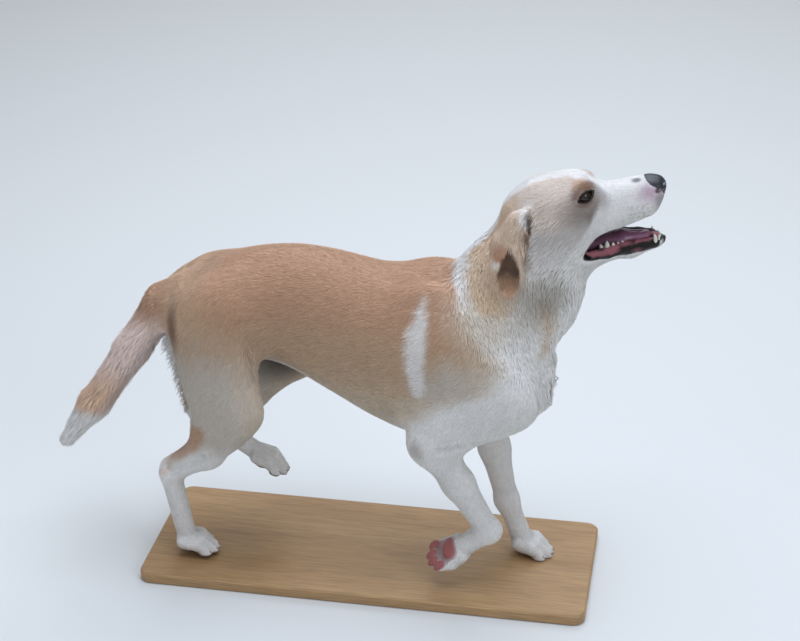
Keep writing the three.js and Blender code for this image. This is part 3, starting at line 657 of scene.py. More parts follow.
COLOURS = {
    "white": "#EFECE8", "tan": "#C79E80", "tan side": "#CBAD8E", "cream": "#DCCDB8", "grey cream": "#CCC4B9",
    "fawn": "#DFD0C2", "cheek": "#D3CECA", "ginger": "#BD8450", "sable": "#96704F", "brown": "#775844",
    "mask": "#7F736C", "throat": "#8F877B", "nape": "#DEC19F", "groin": "#302A27", "blush": "#CDB3C1",
    "ear dark": "#5A402E", "ear low": "#B28B6C", "ear tip": "#CF9C80", "ear cream": "#E9D1BA",
    "ear pink": "#C79475", "tail": "#FBE6DC", "tail low": "#E2BC9A", "tail under": "#CDBFBB",
    "slate": "#6B6A74", "lip": "#15110F", "gum": "#A5626B", "mouth": "#5E3039", "eyelid": "#2A1F1A",
    "pad": "#A4605E", "pad dark": "#5E4644",
}


def linear(colour):
    """An sRGB hex colour as linear red, green and blue."""
    parts = [int(colour[i:i + 2], 16) / 255 for i in (1, 3, 5)]
    return [p / 12.92 if p <= 0.04045 else ((p + 0.055) / 1.055) ** 2.4 for p in parts]


def rgba(colour):
    return (*linear(colour), 1)


PAINT = {name: np.array(linear(colour)) for name, colour in COLOURS.items()}


class Scatter:
    """Loose points, read by a shape's distance as a sampled space is."""

    def __init__(self, points):
        self.columns = [points[:, i] for i in range(3)]

    def points(self):
        return self.columns


def off_line(x, z, line):
    """Distance in side view from a line of (x, z, half-width) rows, below 0 within its width."""
    best = np.full(len(x), 1e9)
    for (ax, az, aw), (bx, bz, bw) in zip(line, line[1:]):
        dx, dz = bx - ax, bz - az
        t = np.clip(((x - ax) * dx + (z - az) * dz) / (dx * dx + dz * dz), 0, 1)
        gap = np.hypot(x - ax - t * dx, z - az - t * dz) - (aw + (bw - aw) * t)
        best = np.minimum(best, gap)
    return best


def in_spot(points, centre, radii, edge):
    """1 in the middle of an ellipsoid spot, 0 outside it, over a soft edge."""
    share = length_of((points - np.asarray(centre, float)) / np.asarray(radii, float))
    return 1 - fade(share, 1 - edge, 1 + edge)


# Where the tan saddle ends in front, and where the tan of the cheek does, as (z, x) rows.
SADDLE_FRONT = [
    (240, 0), (290, 24), (325, 72), (360, 150), (396, 172), (425, 148), (454, 121), (493, 96), (540, 88),
]
CHEEK_FRONT = [
    (-90, -60), (-62, -30), (-47, -12), (-39, -3), (-18, 14),
    (-5, 22), (6, 25), (18, 12), (28, -9), (44, -20),
]
STRIPE = [(54, 492, 3), (44, 440, 14), (43, 390, 15), (50, 350, 8)]
TENDON = {
    -1: [(-302, 248, 9), (-316, 224, 11), (-340, 196, 5), (-356, 182, 1)],
    1: [(-356, 226, 4), (-356, 212, 2)],
}
LIP_MARKS = [
    ("gum", (54, 17, -105), (8, 8, 3.5), 0.6, 0.4),
    ("gum", (-18, 36, -84), (9, 9, 7), 0.5, 0.6),
]
EAR_HOLLOW = [(-128, -44, 5), (-132, -58, 12), (-136, -74, 17), (-139, -92, 16), (-141, -100, 12)]
EAR_ROOT_EDGE = [(-91, -14, 3), (-95, -28, 7), (-99, -46, 6)]
EAR_FOLD_MARKS = [
    ("ear pink", (-141, 0, -40), (14, 1, 17), 0.5, 0.75),
    ("ginger", (-143, 0, -50), (9, 1, 9), 0.6, 0.4),
]
EAR_LOBE_MARKS = [("white", (-151, 0, -56), (5, 1, 5), 0.5, 0.85)]
EAR_ROOT_MARKS = [
    ("white", (-94, 0, 4), (7, 1, 12), 0.5, 0.85),
    ("groin", (-87, 0, -7), (5.5, 1, 13), 0.5, 0.85),
]
EAR_FRONT_RIM = [(-108, -22, 5), (-113, -50, 4), (-117, -80, 2), (-122, -104, 1.5)]


def follow(rows, z):
    table = np.array(rows, float)
    return np.interp(z, table[:, 0], table[:, 1])


def coated(name, count):
    """The same paint on every one of count points."""
    return np.repeat(PAINT[name][None], count, axis=0)


def paint(base, name, amount):
    return base + (PAINT[name] - base) * np.asarray(amount)[:, None]


def paint_marks(colour, points, marks):
    """Lays on soft spots one after another: (paint, middle, half-axes, softness, strength) rows."""
    for name, middle, radii, softness, strength in marks:
        colour = paint(colour, name, in_spot(points, middle, radii, softness) * strength)
    return colour


def trunk_colour(colour, points, normals, rough):
    """The tan saddle with its white stripe, which pales to cream on the thighs and upper arms."""
    x, y, z = points.T
    edge = (follow(SADDLE_FRONT, z) - x + rough) / np.interp(z, [260, 380, 440, 480], [34, 34, 20, 9])
    saddle = fade(edge, -0.8, 0.8)
    saddle *= 1 - fade(-normals[:, 2] + rough * 0.02, 0.5, 0.95) * fade(x, -240, -140)
    rear = fade(-x, 120, 170)
    saddle *= 1 - rear * (1 - fade(z + rough, 190, 236))
    saddle *= 1 - rear * fade(-z, -400, -350) * (1 - fade(np.abs(y - 2) + rough, 26, 48))
    ground = paint(coated("cream", len(points)), "tan side", fade(z + rough, 270, 385))
    ground = paint(ground, "tan", fade(z + rough * 2, 370, 480))
    # Painted light: the tan pales towards the top of the rump at the back.
    ground = paint(ground, "nape", fade(-x, 250, 330) * fade(z, 390, 430) * 0.4)
    thigh = fade(-x + rough, 180, 260) * (1 - fade(z + rough * 2, 330, 430))
    ground = paint(ground, "grey cream", thigh * 0.8)
    ground = paint(ground, "cream", fade(x, 60, 100) * (1 - fade(z + rough * 2, 380, 440)) * 0.8)
    ground = paint(ground, "grey cream", fade(x, 20, 80) * (1 - fade(z + rough * 2, 355, 420)) * 0.9)
    ground = paint(ground, "cream", (1 - fade(edge, 0.2, 2.2)) * 0.55 * (1 - fade(z, 430, 480)))
    colour += (ground - colour) * saddle[:, None]
    breeches = fade(-x + rough, 362, 376) * fade(y, 14, 30) * (1 - fade(z, 350, 390))
    colour = paint(colour, "white", breeches)
    off_tendon = np.where(y < 0, off_line(x, z, TENDON[-1]), off_line(x, z, TENDON[1]))
    tendon = (1 - fade(off_tendon + rough * 0.6, -4, 12)) * rear * (1 - fade(np.abs(z - 215), 60, 70))
    colour = paint(colour, "ginger", tendon * 0.65)
    stripe = 1 - fade(off_line(x, z, STRIPE) + rough * 0.7, -8, 9)
    return paint(colour, "white", stripe * 0.93)


def neck_colour(colour, points, rough):
    """A tan patch behind and below each ear, parted by the white line of the nape, and creamy hazes; the
    greyish one at the front of the neck is partly tan coat and partly painted shade.
    """
    x, y, z = points.T
    flat = points * (1, 0, 1)
    colour = paint(colour, "cream", in_spot(flat, (134, 0, 474), (46, 1, 40), 0.7) * 0.75)
    nape = fade(np.abs(y - 4) + rough * 0.6, 12, 20)
    patch = 1 - fade(off_line(x, z, [(156, 590, 44), (158, 556, 43), (155, 526, 42)]) + rough, -6, 12)
    colour = paint(colour, "nape", patch * nape * 0.9)
    # A greyish haze at the front of the neck below the ear: partly the coat's tan, partly painted shade.
    colour = paint(colour, "grey cream", in_spot(flat, (212, 0, 500), (38, 1, 46), 0.7) * 0.85)
    bib = 1 - fade(off_line(x, z, [(226, 500, 3), (233, 455, 4), (226, 410, 2)]) + rough, -6, 18)
    return paint(colour, "tan side", bib * 0.6 * fade(-y, 5, 30))


TEAR_STAIN = [((-8, 42, -12), (32, 22, 19), 0.8), ((8, 30, -34), (13, 18, 22), 0.6)]
# Marks on the head, in the order they are laid on: paint, middle, half-axes, softness, strength.
PAINTED_SHADE_AND_MASK = [
    # painted shade: grey over the white fur under the jaw
    ("throat", (-90, 62, -120), (36, 34, 30), 0.7, 0.6),
    # painted shadow of the ear flap on the side of the neck
    ("brown", (-103, 48, -60), (9, 20, 16), 0.6, 0.7),
    ("mask", (20, 27, -6), (12, 12, 17), 0.6, 0.6),
]
BROW_MARKS = [
    ("ginger", (-2, 28, 20), (13, 12, 7), 0.7, 0.6),
    ("brown", (6, 28, 15), (13, 11, 7), 0.6, 0.85),
]
FAR_BROW = [("tan", (17, 12, 18), (9, 9, 8), 0.6, 0.6)]
MUZZLE_MARKS = [
    ("white", (-86, 46, 4), (10, 14, 20), 0.6, 0.75),
    ("blush", (92, 18, -20), (17, 16, 13), 0.8, 0.9),
    ("slate", (102, 16, -36), (10, 14, 10), 0.7, 0.45),
]
NOSE_FRECKLE = [("slate", (77, -8, 1), (7, 5, 7), 0.4, 0.85)]
WHISKER_ROOTS = [(-33, 86), (-39, 88), (-45, 86), (-51, 80)]  # how high each row is, and where it starts
SEEDS = {"whisker roots": 41, "coat": 7, "whiskers": 12}


def head_colour(colour, head, rough):
    """Fawn sides and a white blaze; darker round the eyes, pink and freckled round the nose; painted shade
    under the jaw and under each ear.
    """
    hx, hy, hz = head.T
    side = np.abs(hy)
    mirrored = np.stack([hx, side, hz], axis=1)
    on_the_head = 1 - fade(length_of(head / (150, 110, 130)), 0.92, 1.02)
    front = fade(follow(CHEEK_FRONT, hz) - hx + rough * 0.5, -4, 6)
    blaze = np.interp(hx, [-130, -64, -40, -12, 0, 20], [5, 8, 8, 12, 17, 24])
    cheek = front * fade(side + rough * 0.5, blaze - 3, blaze + 9) * on_the_head
    colour = paint(colour, "fawn", cheek)
    colour = paint(colour, "nape", cheek * fade(-hx + rough, 84, 130) * 0.85)
    colour = paint(colour, "cheek", cheek * fade(-hz + rough, 2, 44) * 0.9 * (1 - fade(-hx, 100, 130)))
    colour = paint(colour, "white", cheek * fade(-hz + rough, 42, 92) * 0.75)
    tear = sum(in_spot(mirrored, *spot) for spot in TEAR_STAIN)
    colour = paint(colour, "mask", np.minimum(tear, 1) * 0.82 * front)
    colour = paint_marks(colour, mirrored, PAINTED_SHADE_AND_MASK)
    freckle = fade(noise(mirrored, 3.2, 51), 0.5, 1.1)
    colour = paint(colour, "slate", in_spot(mirrored, (32, 25, -4), (16, 14, 16), 0.5) * freckle * 0.6)
    colour = paint_marks(colour, mirrored, BROW_MARKS)
    colour = paint_marks(colour, head, FAR_BROW)
    colour = paint_marks(colour, mirrored, MUZZLE_MARKS)
    colour = paint_marks(colour, head, NOSE_FRECKLE)
    rng = np.random.default_rng(SEEDS["whisker roots"])
    for row, (height, first) in enumerate(WHISKER_ROOTS):
        for step in range(6):
            shift = rng.normal(0, 1.1, 2)
            place = (first - step * 7.5 + row % 2 * 3 + shift[0], 20, height + step * 0.6 + shift[1])
            beyond = length_of((mirrored - place) / (1, 20, 1))
            dark = rng.uniform(0.2, 0.55) * (1 - step * 0.1)
            colour = paint(colour, "slate", (1 - fade(beyond, 0.9, 2.6)) * dark * fade(side, 8, 12))
    beyond_eye = length_of(mirrored - np.array(EYE["centre"]))
    return paint(colour, "brown", (1 - fade(beyond_eye, 15, 22)) * 0.8 * fade(mirrored[:, 1], 20, 28))


def hair_colour(points, normals):
    """The coat's markings, from the places they have on such a dog, with painted shade between the thighs
    and in the crease beside the tail's root.
    """
    x, y, z = points.T
    rough = noise(points, 14, 3) * 5 + noise(points, 5, 4) * 2.5 + noise(points, 2.2, 5) * 2.0
    colour = coated("white", len(points))
    colour = trunk_colour(colour, points, normals, rough)
    colour = neck_colour(colour, points, rough)
    colour = head_colour(colour, to_head(points), rough)
    # Painted shadow: brown in the crease between the tail's root and the right side of the rump.
    colour = paint_marks(colour, points, [("brown", (-343, -82, 416), (9, 26, 38), 0.7, 0.85)])
    for joint, out in (("elbow_r", -1), ("elbow_l", 1)):
        callus = in_spot(points, J[joint] + (-22, out * 22, 2), (11, 14, 14), 0.8)
        colour = paint(colour, "brown", callus * 0.35)
    tail = fade(-x, 350, 370) * fade(z, 150, 170) * (1 - fade(y + rough * 0.2, 14, 24))
    colour = paint(colour, "tan", tail)
    colour = paint(colour, "tail", tail * fade(-z + rough, -436, -385) * 0.9)
    colour = paint(colour, "tail low", tail * fade(-z + rough, -345, -285) * 0.85)
    colour = paint(colour, "tail under", tail * fade(normals[:, 0] - normals[:, 2] * 0.5, 0.1, 0.9) * 0.6)
    colour = paint(colour, "white", tail * fade(-z + rough, -262, -248))
    # Painted shade: near black over the belly between the thighs and on the inner sides of the thighs.
    inner_shade = fade(-normals[:, 1] * np.sign(y - 2), -0.2, 0.3)
    return paint(colour, "groin", in_spot(points, (-205, 6, 314), (80, 72, 62), 0.4) * inner_shade * 0.97)


def ear_colour(points, side):
    """An ear flap: furred tan above, dark in the hollow (partly darker skin, partly painted shade), pinker
    towards the tip, with pale rims.
    """
    h = to_head(points) * (1, side, 1) - np.array(EAR_HANG[side])
    x, z = h[:, 0], h[:, 2]
    flat = h * (1, 0, 1)
    rough = noise(h, 6, 61) * 2 + noise(h, 2, 62) * 1.2
    outside = fade(h[:, 1], 55, 59)
    colour = paint(coated("ear cream", len(points)), "tan side", fade(-z + rough, 48, 70) * 0.7)
    colour = paint_marks(colour, flat, EAR_FOLD_MARKS)
    low = fade(-z - (x + 142) * 0.5 + rough, 64, 96)
    hollow = (1 - fade(off_line(x, z, EAR_HOLLOW) + rough, -2, 2.5)) * outside
    # The hollow's dark top is partly the ear's darker skin and partly painted shade.
    inside = paint(coated("ear dark", len(points)), "ear low", low)
    inside = paint(inside, "ear tip", fade(-z + rough, 90, 106) * 0.8)
    colour += (inside - colour) * (hollow * 0.96)[:, None]
    colour = paint(colour, "ear cream", (1 - fade(off_line(x, z, EAR_FRONT_RIM), -1, 3)) * 0.7)
    colour = paint_marks(colour, flat, EAR_LOBE_MARKS)
    edge = 1 - fade(off_line(x, z, EAR_ROOT_EDGE) + rough, -1, 4)
    colour = paint(colour, "brown", edge * (0.45 + 0.5 * fade(noise(h, 1.6, 63), -0.4, 0.5)))
    return paint_marks(colour, flat, EAR_ROOT_MARKS)


# ---------------------------------------------------------------- the lie of the coat


class Stroke:
    """How the coat lies round one line of the body.

    Its tufts have a length, a width, a depth over the skin, and a lift by which their tips stand off.
    """

    def __init__(self, part, a, b, radius, long, wide, deep, lift=0.0, lie=None):
        self.part, self.a, self.b = part, np.asarray(a, float), np.asarray(b, float)
        self.radius, self.fur = radius, (long, wide, deep, lift)
        self.lie = unit(self.b - self.a if lie is None else lie)


def chain(part, places, radii, fur):
    """Strokes down a line of places, lying along it."""
    return [Stroke(part, a, b, r, *fur) for a, b, r in zip(places, places[1:], radii)]


BODY_FUR, NECK_FUR, BIB_FUR = (11, 1.3, 1.7), (16, 1.6, 2.4, 1), (20, 1.8, 3.2, 2)
THIGH_FUR, CALF_FUR, LEG_FUR, FOOT_FUR = (11, 1.3, 1.6), (9.5, 1.2, 1.4), (7.5, 1.1, 1.1), (5.5, 1.0, 0.9)
SKULL_FUR, FACE_FUR, MUZZLE_FUR = (6.5, 1.0, 1.0), (5.2, 0.9, 0.8), (3.8, 0.75, 0.6)
TAIL_FUR, EAR_FUR = (24, 1.6, 5, 4), (7.5, 1.15, 0.9)
EAR_ROOT_FUR, STRAND_FUR = (15, 1.2, 2.4, 2), (20, 1.1, 3, 5)
CHEST_FUR, FLANK_FUR = (24, 1.8, 4, 9), (17, 1.3, 2.4, 5)
TOE_REACH = 34  # mm from the knuckles to the ends of the toes
FRINGE = {-1: ((-344, -50, 372), (-318, -66, 252)), 1: ((-398, 46, 350), (-382, 62, 212))}
FRINGE_FUR = {-1: (14, 1.4, 2.6, 2), 1: (30, 1.6, 9, 15)}


def head_stroke(part, a, b, radius, fur, lie):
    return Stroke(part, on_head(a), on_head(b), radius, *fur, lie=HEAD_TURN @ np.array(lie, float))


def trunk_strokes():
    return [
        Stroke("trunk", (90, 0, 370), (-60, 0, 390), 88, *BODY_FUR, lie=(-1, 0, -0.28)),
        Stroke("trunk", (-60, 0, 400), (-260, 0, 436), 76, *BODY_FUR, lie=(-1, 0, -0.2)),
        Stroke("trunk", (-260, 0, 440), (-330, 0, 428), 56, *THIGH_FUR, lie=(-1, 0, -0.6)),
        Stroke("neck", (232, 3, 590), (181, 0, 487), 66, *NECK_FUR, lie=(-0.72, 0, -0.7)),
        Stroke("neck", (181, 0, 487), (130, 0, 430), 84, *NECK_FUR, lie=(0.35, 0, -0.94)),
        Stroke("neck", (170, 0, 400), (160, 0, 340), 84, *NECK_FUR, lie=(0.3, 0, -0.95)),
        Stroke("neck", (236, 0, 520), (222, 0, 320), 34, *BIB_FUR, lie=(0.0, 0, -1)),
        Stroke("neck", (240, -26, 334), (240, -30, 316), 16, *CHEST_FUR, lie=(0.45, 0, -0.9)),
        *chain("tail", TAIL, (20, 20, 18, 12), TAIL_FUR),
    ]


def head_strokes():
    return [
        head_stroke("head", (92, 0, -26), (24, 0, -30), 26, MUZZLE_FUR, (-1, 0, -0.1)),
        head_stroke("head", (82, 0, -103), (0, 0, -98), 16, MUZZLE_FUR, (-1, 0, 0)),
        head_stroke("head", (0, 0, -92), (-70, 0, -84), 32, SKULL_FUR, (-1, 0, -0.1)),
        head_stroke("head", (16, 0, 2), (-96, 0, 0), 40, SKULL_FUR, (-1, 0, 0.1)),
    ]


def cheek_and_ear_strokes(side):
    name = "ear_left" if side > 0 else "ear_right"
    rows = [row[0] for row in ear_rows(side)]
    out = to_head(rows[1]) + (10, 6 * side, -8)
    strand = (on_head(out), on_head(out + (-4, 0, -22)))
    return [
        head_stroke("head", (6, 26 * side, -34), (-70, 34 * side, -44), 22, FACE_FUR, (-1, 0, -0.3)),
        *chain(name, rows[:3], (10, 12), EAR_ROOT_FUR),
        *chain(name, rows[2:], (12, 12, 10), EAR_FUR),
        Stroke(name, *strand, 6, *STRAND_FUR, lie=HEAD_TURN @ (0.3, 0, -1)),
    ]


def fore_leg_strokes(s, leg):
    blade, shoulder, elbow, carpus, knuckle = fore_joints(s)
    tips = knuckle + unit(PAWS["fore" + s][1]) * TOE_REACH
    return [
        Stroke("trunk", blade, shoulder, 30, *BODY_FUR, lie=(-0.75, 0, -0.6)),
        Stroke(leg, shoulder, elbow, 30, *THIGH_FUR, lie=(-0.5, 0, -0.85)),
        *chain(leg, (elbow, carpus, knuckle), (24, 18), LEG_FUR),
        *chain(leg, (knuckle, tips), (16,), FOOT_FUR),
    ]


def hind_leg_strokes(s, leg, side):
    hip, knee, hock, foot = hind_joints(s)
    tips = foot + unit(PAWS["hind" + s][1]) * TOE_REACH
    flank = [(-222, 82 * side, 394), (-214, 80 * side, 352)]
    return [
        Stroke(leg, hip, knee, 50, *THIGH_FUR, lie=(-0.5, 0, -0.87)),
        Stroke(leg, *FRINGE[side], 10, *FRINGE_FUR[side], lie=(-0.5, 0, -0.87)),
        Stroke(leg, *flank, 7, *FLANK_FUR, lie=(0.35, 0, -0.94)),
        *chain(leg, (knee, hock), (24,), CALF_FUR),
        *chain(leg, (hock, foot), (16,), LEG_FUR),
        *chain(leg, (foot, tips), (16,), FOOT_FUR),
    ]


def all_strokes():
    strokes = trunk_strokes() + head_strokes()
    for side in (-1, 1):
        strokes += cheek_and_ear_strokes(side)
    for s, name, side in (("_r", "_right", -1), ("_l", "_left", 1)):
        strokes += fore_leg_strokes(s, "foreleg" + name)
        strokes += hind_leg_strokes(s, "hindleg" + name, side)
    return strokes


def line_distance(points, a, b):
    along = b - a
    t = np.clip((points - a) @ along / (along @ along), 0, 1)
    return length_of(points - a - t[:, None] * along), t


STROKE_BLEND = 7  # mm over which one stroke's coat runs into the next
WHIRL = 0.22  # radians by which the lie wanders


def coat_at(points, normals):
    """For each point: the lie, the tuft's length and width, the coat's depth, and the nearest stroke."""
    strokes = all_strokes()
    gaps = np.stack([line_distance(points, s.a, s.b)[0] - s.radius for s in strokes], axis=1)
    nearest = gaps.argmin(axis=1)
    weights = np.exp(-(gaps - gaps.min(axis=1, keepdims=True)) / STROKE_BLEND)
    weights /= weights.sum(axis=1, keepdims=True)
    lie = weights @ np.array([s.lie for s in strokes])
    fur = weights @ np.array([s.fur for s in strokes], float)
    turn = noise(points, 30, 11) * WHIRL
    lie -= normals * (lie * normals).sum(axis=1, keepdims=True)
    lie = steady(lie)
    across = np.cross(normals, lie)
    lie = lie * np.cos(turn)[:, None] + across * np.sin(turn)[:, None]
    ear_share = np.zeros((len(points), 2))
    for i, name in enumerate(("ear_right", "ear_left")):
        ear_share[:, i] = weights[:, [s.part == name for s in strokes]].sum(axis=1)
    root, tip = TAIL[0][2], TAIL[-1][2]
    on_tail = weights[:, [s.part == "tail" for s in strokes]].sum(axis=1)
    grown = np.interp(points[:, 2], [tip, tip + 30, root - 60, root], [0.55, 1, 1, 0.45])
    fur[:, 2] *= 1 + on_tail * (grown - 1)
    return {
        "lie": lie, "long": fur[:, 0], "wide": fur[:, 1], "deep": fur[:, 2],
        "lift": fur[:, 3], "nearest": nearest, "ears": ear_share,
    }


# ---------------------------------------------------------------- bare skin


HEAD_ROUND = 190  # mm about the head, beyond which nothing of the mouth reaches


def least_distance(points, shapes):
    """How far each point near the head is from the nearest of some shapes."""
    least = np.full(len(points), FAR)
    here = np.flatnonzero(length_of(points - HEAD_AT) < HEAD_ROUND)
    scatter = Scatter(points[here])
    for shape in shapes:
        least[here] = np.minimum(least[here], shape.distance(scatter))
    return least


def lip_height(side, forwards):
    rows = np.array(LIPS[side])
    return np.interp(forwards, rows[:, 0], rows[:, 2])


def mouth_skin(points, normals, colour):
    """The black lips, the pinker gums and the lining of the mouth: how bare, and the colour."""
    h = to_head(points)
    hx, side, hz = h[:, 0], np.abs(h[:, 1]), h[:, 2]
    mirrored = np.stack([hx, side, hz], axis=1)
    gap = least_distance(points, mouth_hollows())
    lip_gap = least_distance(points, lips(-1) + lips(1))
    gum_gap = least_distance(points, gums(-1) + gums(1))
    edge = (1 - fade(gap, 2.0, 4.0)) * fade(hx, -42, -34) * (1 - fade(hx, 96, 106))
    on_lip = 1 - fade(lip_gap, 0.3, 1.3)
    below_lip = fade(lip_height(1, hx) + 2 - hz, 0, 3)
    furred = fade(h[:, 1], 2, 6) * fade(normals @ HEAD_AXES[1], 0.1, 0.5) * below_lip
    on_lip *= 1 - furred
    bare = np.maximum(edge, on_lip) * (1 - furred)
    width = np.interp(hx, [-20, 20, 84, 100], [30, 26, 15, 10])
    deep_in = (1 - fade(gap, 0.5, 2.0)) * fade(hx, -40, -30) * (1 - fade(side, width - 7, width - 2))
    colour = paint(colour, "mouth", deep_in * (1 - on_lip) * 0.8)
    patchy = fade(noise(points, 9, 41), -1.2, 0.2) * 0.9
    colour = paint(colour, "gum", (1 - fade(gum_gap - np.maximum(lip_gap, 0) * 0.5, -0.2, 1.2)) * patchy)
    above_lip = hz - lip_height(-1, hx)
    wet = fade(above_lip + noise(points, 5, 43) * 1.5, -1.5, 2) * (1 - fade(np.abs(hx - 4), 18, 30))
    colour = paint(colour, "gum", on_lip * wet * 0.75 * fade(-h[:, 1], -4, 4))
    return bare, paint_marks(colour, mirrored, LIP_MARKS)


LID_ROUND = 22  # mm about an eye's centre that its lids may reach


def lid_skin(points, bare, colour):
    """The dark bare edges of the eyelids."""
    for side in (-1, 1):
        centre, look, slit, up = eye_frame(side)
        offset = points - centre
        beside = off_slit(offset @ slit, offset @ up)
        in_front = fade(offset @ look, 2, 5) * (length_of(offset) < LID_ROUND)
        lid = (1 - fade(beside, 0.6, 2.4)) * in_front
        bare = np.maximum(bare, lid * 0.8)
        colour = paint(colour, "eyelid", lid)
    return bare, colour


def pad_skin(points, normals, bare, colour):
    """The pads under each paw, and the thinly haired skin between them."""
    for name, paw in PAWS.items():
        place, toes, axes = paw_plan(paw)
        facing = fade(-(normals @ axes[2]), 0.0, 0.4)
        pad_paint = "pad" if name == "fore_r" else "pad dark"
        spots = [(place(24, 0, -12), (27, 25, 13), 0.2, 0.7, "pad dark")]
        spots.append((place(8, 0, -13), (18, 21 * paw[3], 13), 0.18, 1, pad_paint))
        spots += [(toe[2] - axes[2] * 5, (12, 9, 8), 0.18, 1, pad_paint) for toe in toes]
        for centre, radii, softness, bareness, own_paint in spots:
            local = (points - centre) @ np.array(axes).T
            pad = in_spot(local, (0, 0, 0), radii, softness) * facing
            bare = np.maximum(bare, pad * bareness)
            colour = paint(colour, own_paint, pad)
    return bare, colour


def bare_skin(points, normals):
    """How bare the skin is (0 to 1) and its own colour: lips, mouth, eyelids, pads."""
    bare, colour = mouth_skin(points, normals, coated("lip", len(points)))
    bare, colour = lid_skin(points, bare, colour)
    return pad_skin(points, normals, bare, colour)


# ---------------------------------------------------------------- meshes


def surface(values, space):
    """The surface where the values pass 0, as points and quads that face outwards."""
    volume = openvdb.FloatGrid(FAR)
    volume.copyFromArray(values.astype(np.float32))
    found, quads = volume.convertToQuads(0.0)
    places = [np.interp(found[:, i], np.arange(len(axis)), axis) for i, axis in enumerate(space.axes)]
    points = np.stack(places, axis=1)
    quads = quads.astype(np.int64)
    a, b, c = (points[quads[:, i]] for i in (0, 1, 2))
    if (np.cross(b - a, c - a) * a).sum() < 0:
        quads = quads[:, ::-1]
    return points, quads


def mesh_object(name, points, faces):
    """A piece from points in body millimetres and faces that all have the same number of corners."""
    mesh = bpy.data.meshes.new(name)
    places = (np.asarray(points) + (0, 0, GROUND)) * MM
    corners = np.asarray(faces)
    count, sides = corners.shape
    mesh.vertices.add(len(places))
    mesh.vertices.foreach_set("co", places.astype(np.float32).ravel())
    mesh.loops.add(count * sides)
    mesh.loops.foreach_set("vertex_index", corners.astype(np.int32).ravel())
    mesh.polygons.add(count)
    mesh.polygons.foreach_set("loop_start", np.arange(0, count * sides, sides, dtype=np.int32))
    mesh.update(calc_edges=True)
    mesh.shade_smooth()
    piece = bpy.data.objects.new(name, mesh)
    bpy.context.scene.collection.objects.link(piece)
    return piece


def put(piece, name, kind, values):
    """Stores values on a piece's points: one number or one colour each."""
    values = np.asarray(values, np.float32)
    if kind == "FLOAT_COLOR":
        values = np.concatenate([values, np.ones((len(values), 1), np.float32)], axis=1)
    field = piece.data.attributes.new(name, kind, "POINT")
    field.data.foreach_set("color" if kind == "FLOAT_COLOR" else "value", values.ravel())


def finished(piece, material, slot, *nodes):
    """Gives a piece its material and sets it in the frame in place of the CAD nodes; slot is not used."""
    piece.data.materials.append(material)
    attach(piece, "root")
    if nodes:
        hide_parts(*nodes)
    return piece


def tube_faces(rings, sides, closed=False):
    """Triangles between rings of points; closed joins the last ring to the first."""
    faces = []
    for i in range(rings if closed else rings - 1):
        here, ahead = i * sides, (i + 1) % rings * sides
        for k in range(sides):
            n = (k + 1) % sides
            faces += [(here + k, here + n, ahead + n), (here + k, ahead + n, ahead + k)]
    return faces


def normals_of(points, faces):
    corners = [points[faces[:, i]] for i in range(3)]
    across = np.cross(corners[1] - corners[0], corners[2] - corners[0])
    total = np.zeros_like(points)
    for i in range(faces.shape[1]):
        for axis in range(3):
            total[:, axis] += np.bincount(faces[:, i], across[:, axis], len(points))
    return total / np.maximum(length_of(total), 1e-9)[:, None]


def thinned(points, faces, triangles):
    """The same surface with fewer triangles, kept where it bends most."""
    rough = mesh_object("rough", points, faces)
    share = triangles / (len(faces) * (faces.shape[1] - 2))
    if share < 1:
        rough.modifiers.new("thin", "DECIMATE").ratio = share
    ready = rough.evaluated_get(bpy.context.evaluated_depsgraph_get()).to_mesh()
    ready.calc_loop_triangles()
    places = np.empty(len(ready.vertices) * 3, np.float32)
    corners = np.empty(len(ready.loop_triangles) * 3, np.int32)
    ready.vertices.foreach_get("co", places)
    ready.loop_triangles.foreach_get("vertices", corners)
    mesh = rough.data
    bpy.data.objects.remove(rough)
    bpy.data.meshes.remove(mesh)
    points = places.reshape(-1, 3).astype(float) / MM - (0, 0, GROUND)
    return points, corners.reshape(-1, 3).astype(np.int64)


# ---------------------------------------------------------------- skin


def full_colour(points, normals, coat):
    colour = hair_colour(points, normals)
    for i, side in enumerate((-1, 1)):
        share = fade(coat["ears"][:, i], 0.3, 0.7)[:, None]
        colour += (ear_colour(points, side) - colour) * share
    return colour


def make_skin(space, values):
    """The whole skin, sunk under the coat, and what the coat is planted by."""
    points, quads = surface(values, space)
    points, faces = thinned(points, quads, SKIN_TRIANGLES)
    normals = normals_of(points, faces)
    coat = coat_at(points, normals)
    bare, bare_colour = bare_skin(points, normals)
    hair = full_colour(points, normals, coat)
    sunk = points - normals * (coat["deep"] * (1 - bare))[:, None]
    skin = mesh_object("dog_skin", sunk, faces)
    put(skin, "hair", "FLOAT_COLOR", hair * (1 - bare)[:, None] + bare_colour * bare[:, None])
    put(skin, "bare", "FLOAT", bare)
    put(skin, "hanging", "FLOAT", fade(np.abs(coat["lie"][:, 2]), 0.4, 0.75))
    return skin, (sunk, faces, normals, coat, bare)


# ---------------------------------------------------------------- coat

PATCH = 0.003  # of the unwrap, across one tuft
PIECE_TRIANGLES = 190_000


class Tuft:
    """One kind of tuft: a closed blade whose points go left, right, ridge, row after row, then the tip."""

    def __init__(self, name, count, rows, dark_share, top, under, end):
        self.name, self.count, self.rows, self.dark_share = name, count, rows, dark_share
        self.faces = np.array(top + under + end)
        self.of_top = np.arange(len(self.faces)) < len(top)
        self.of_end = np.arange(len(self.faces)) >= len(top) + len(under)
        self.per_piece = PIECE_TRIANGLES // len(self.faces)


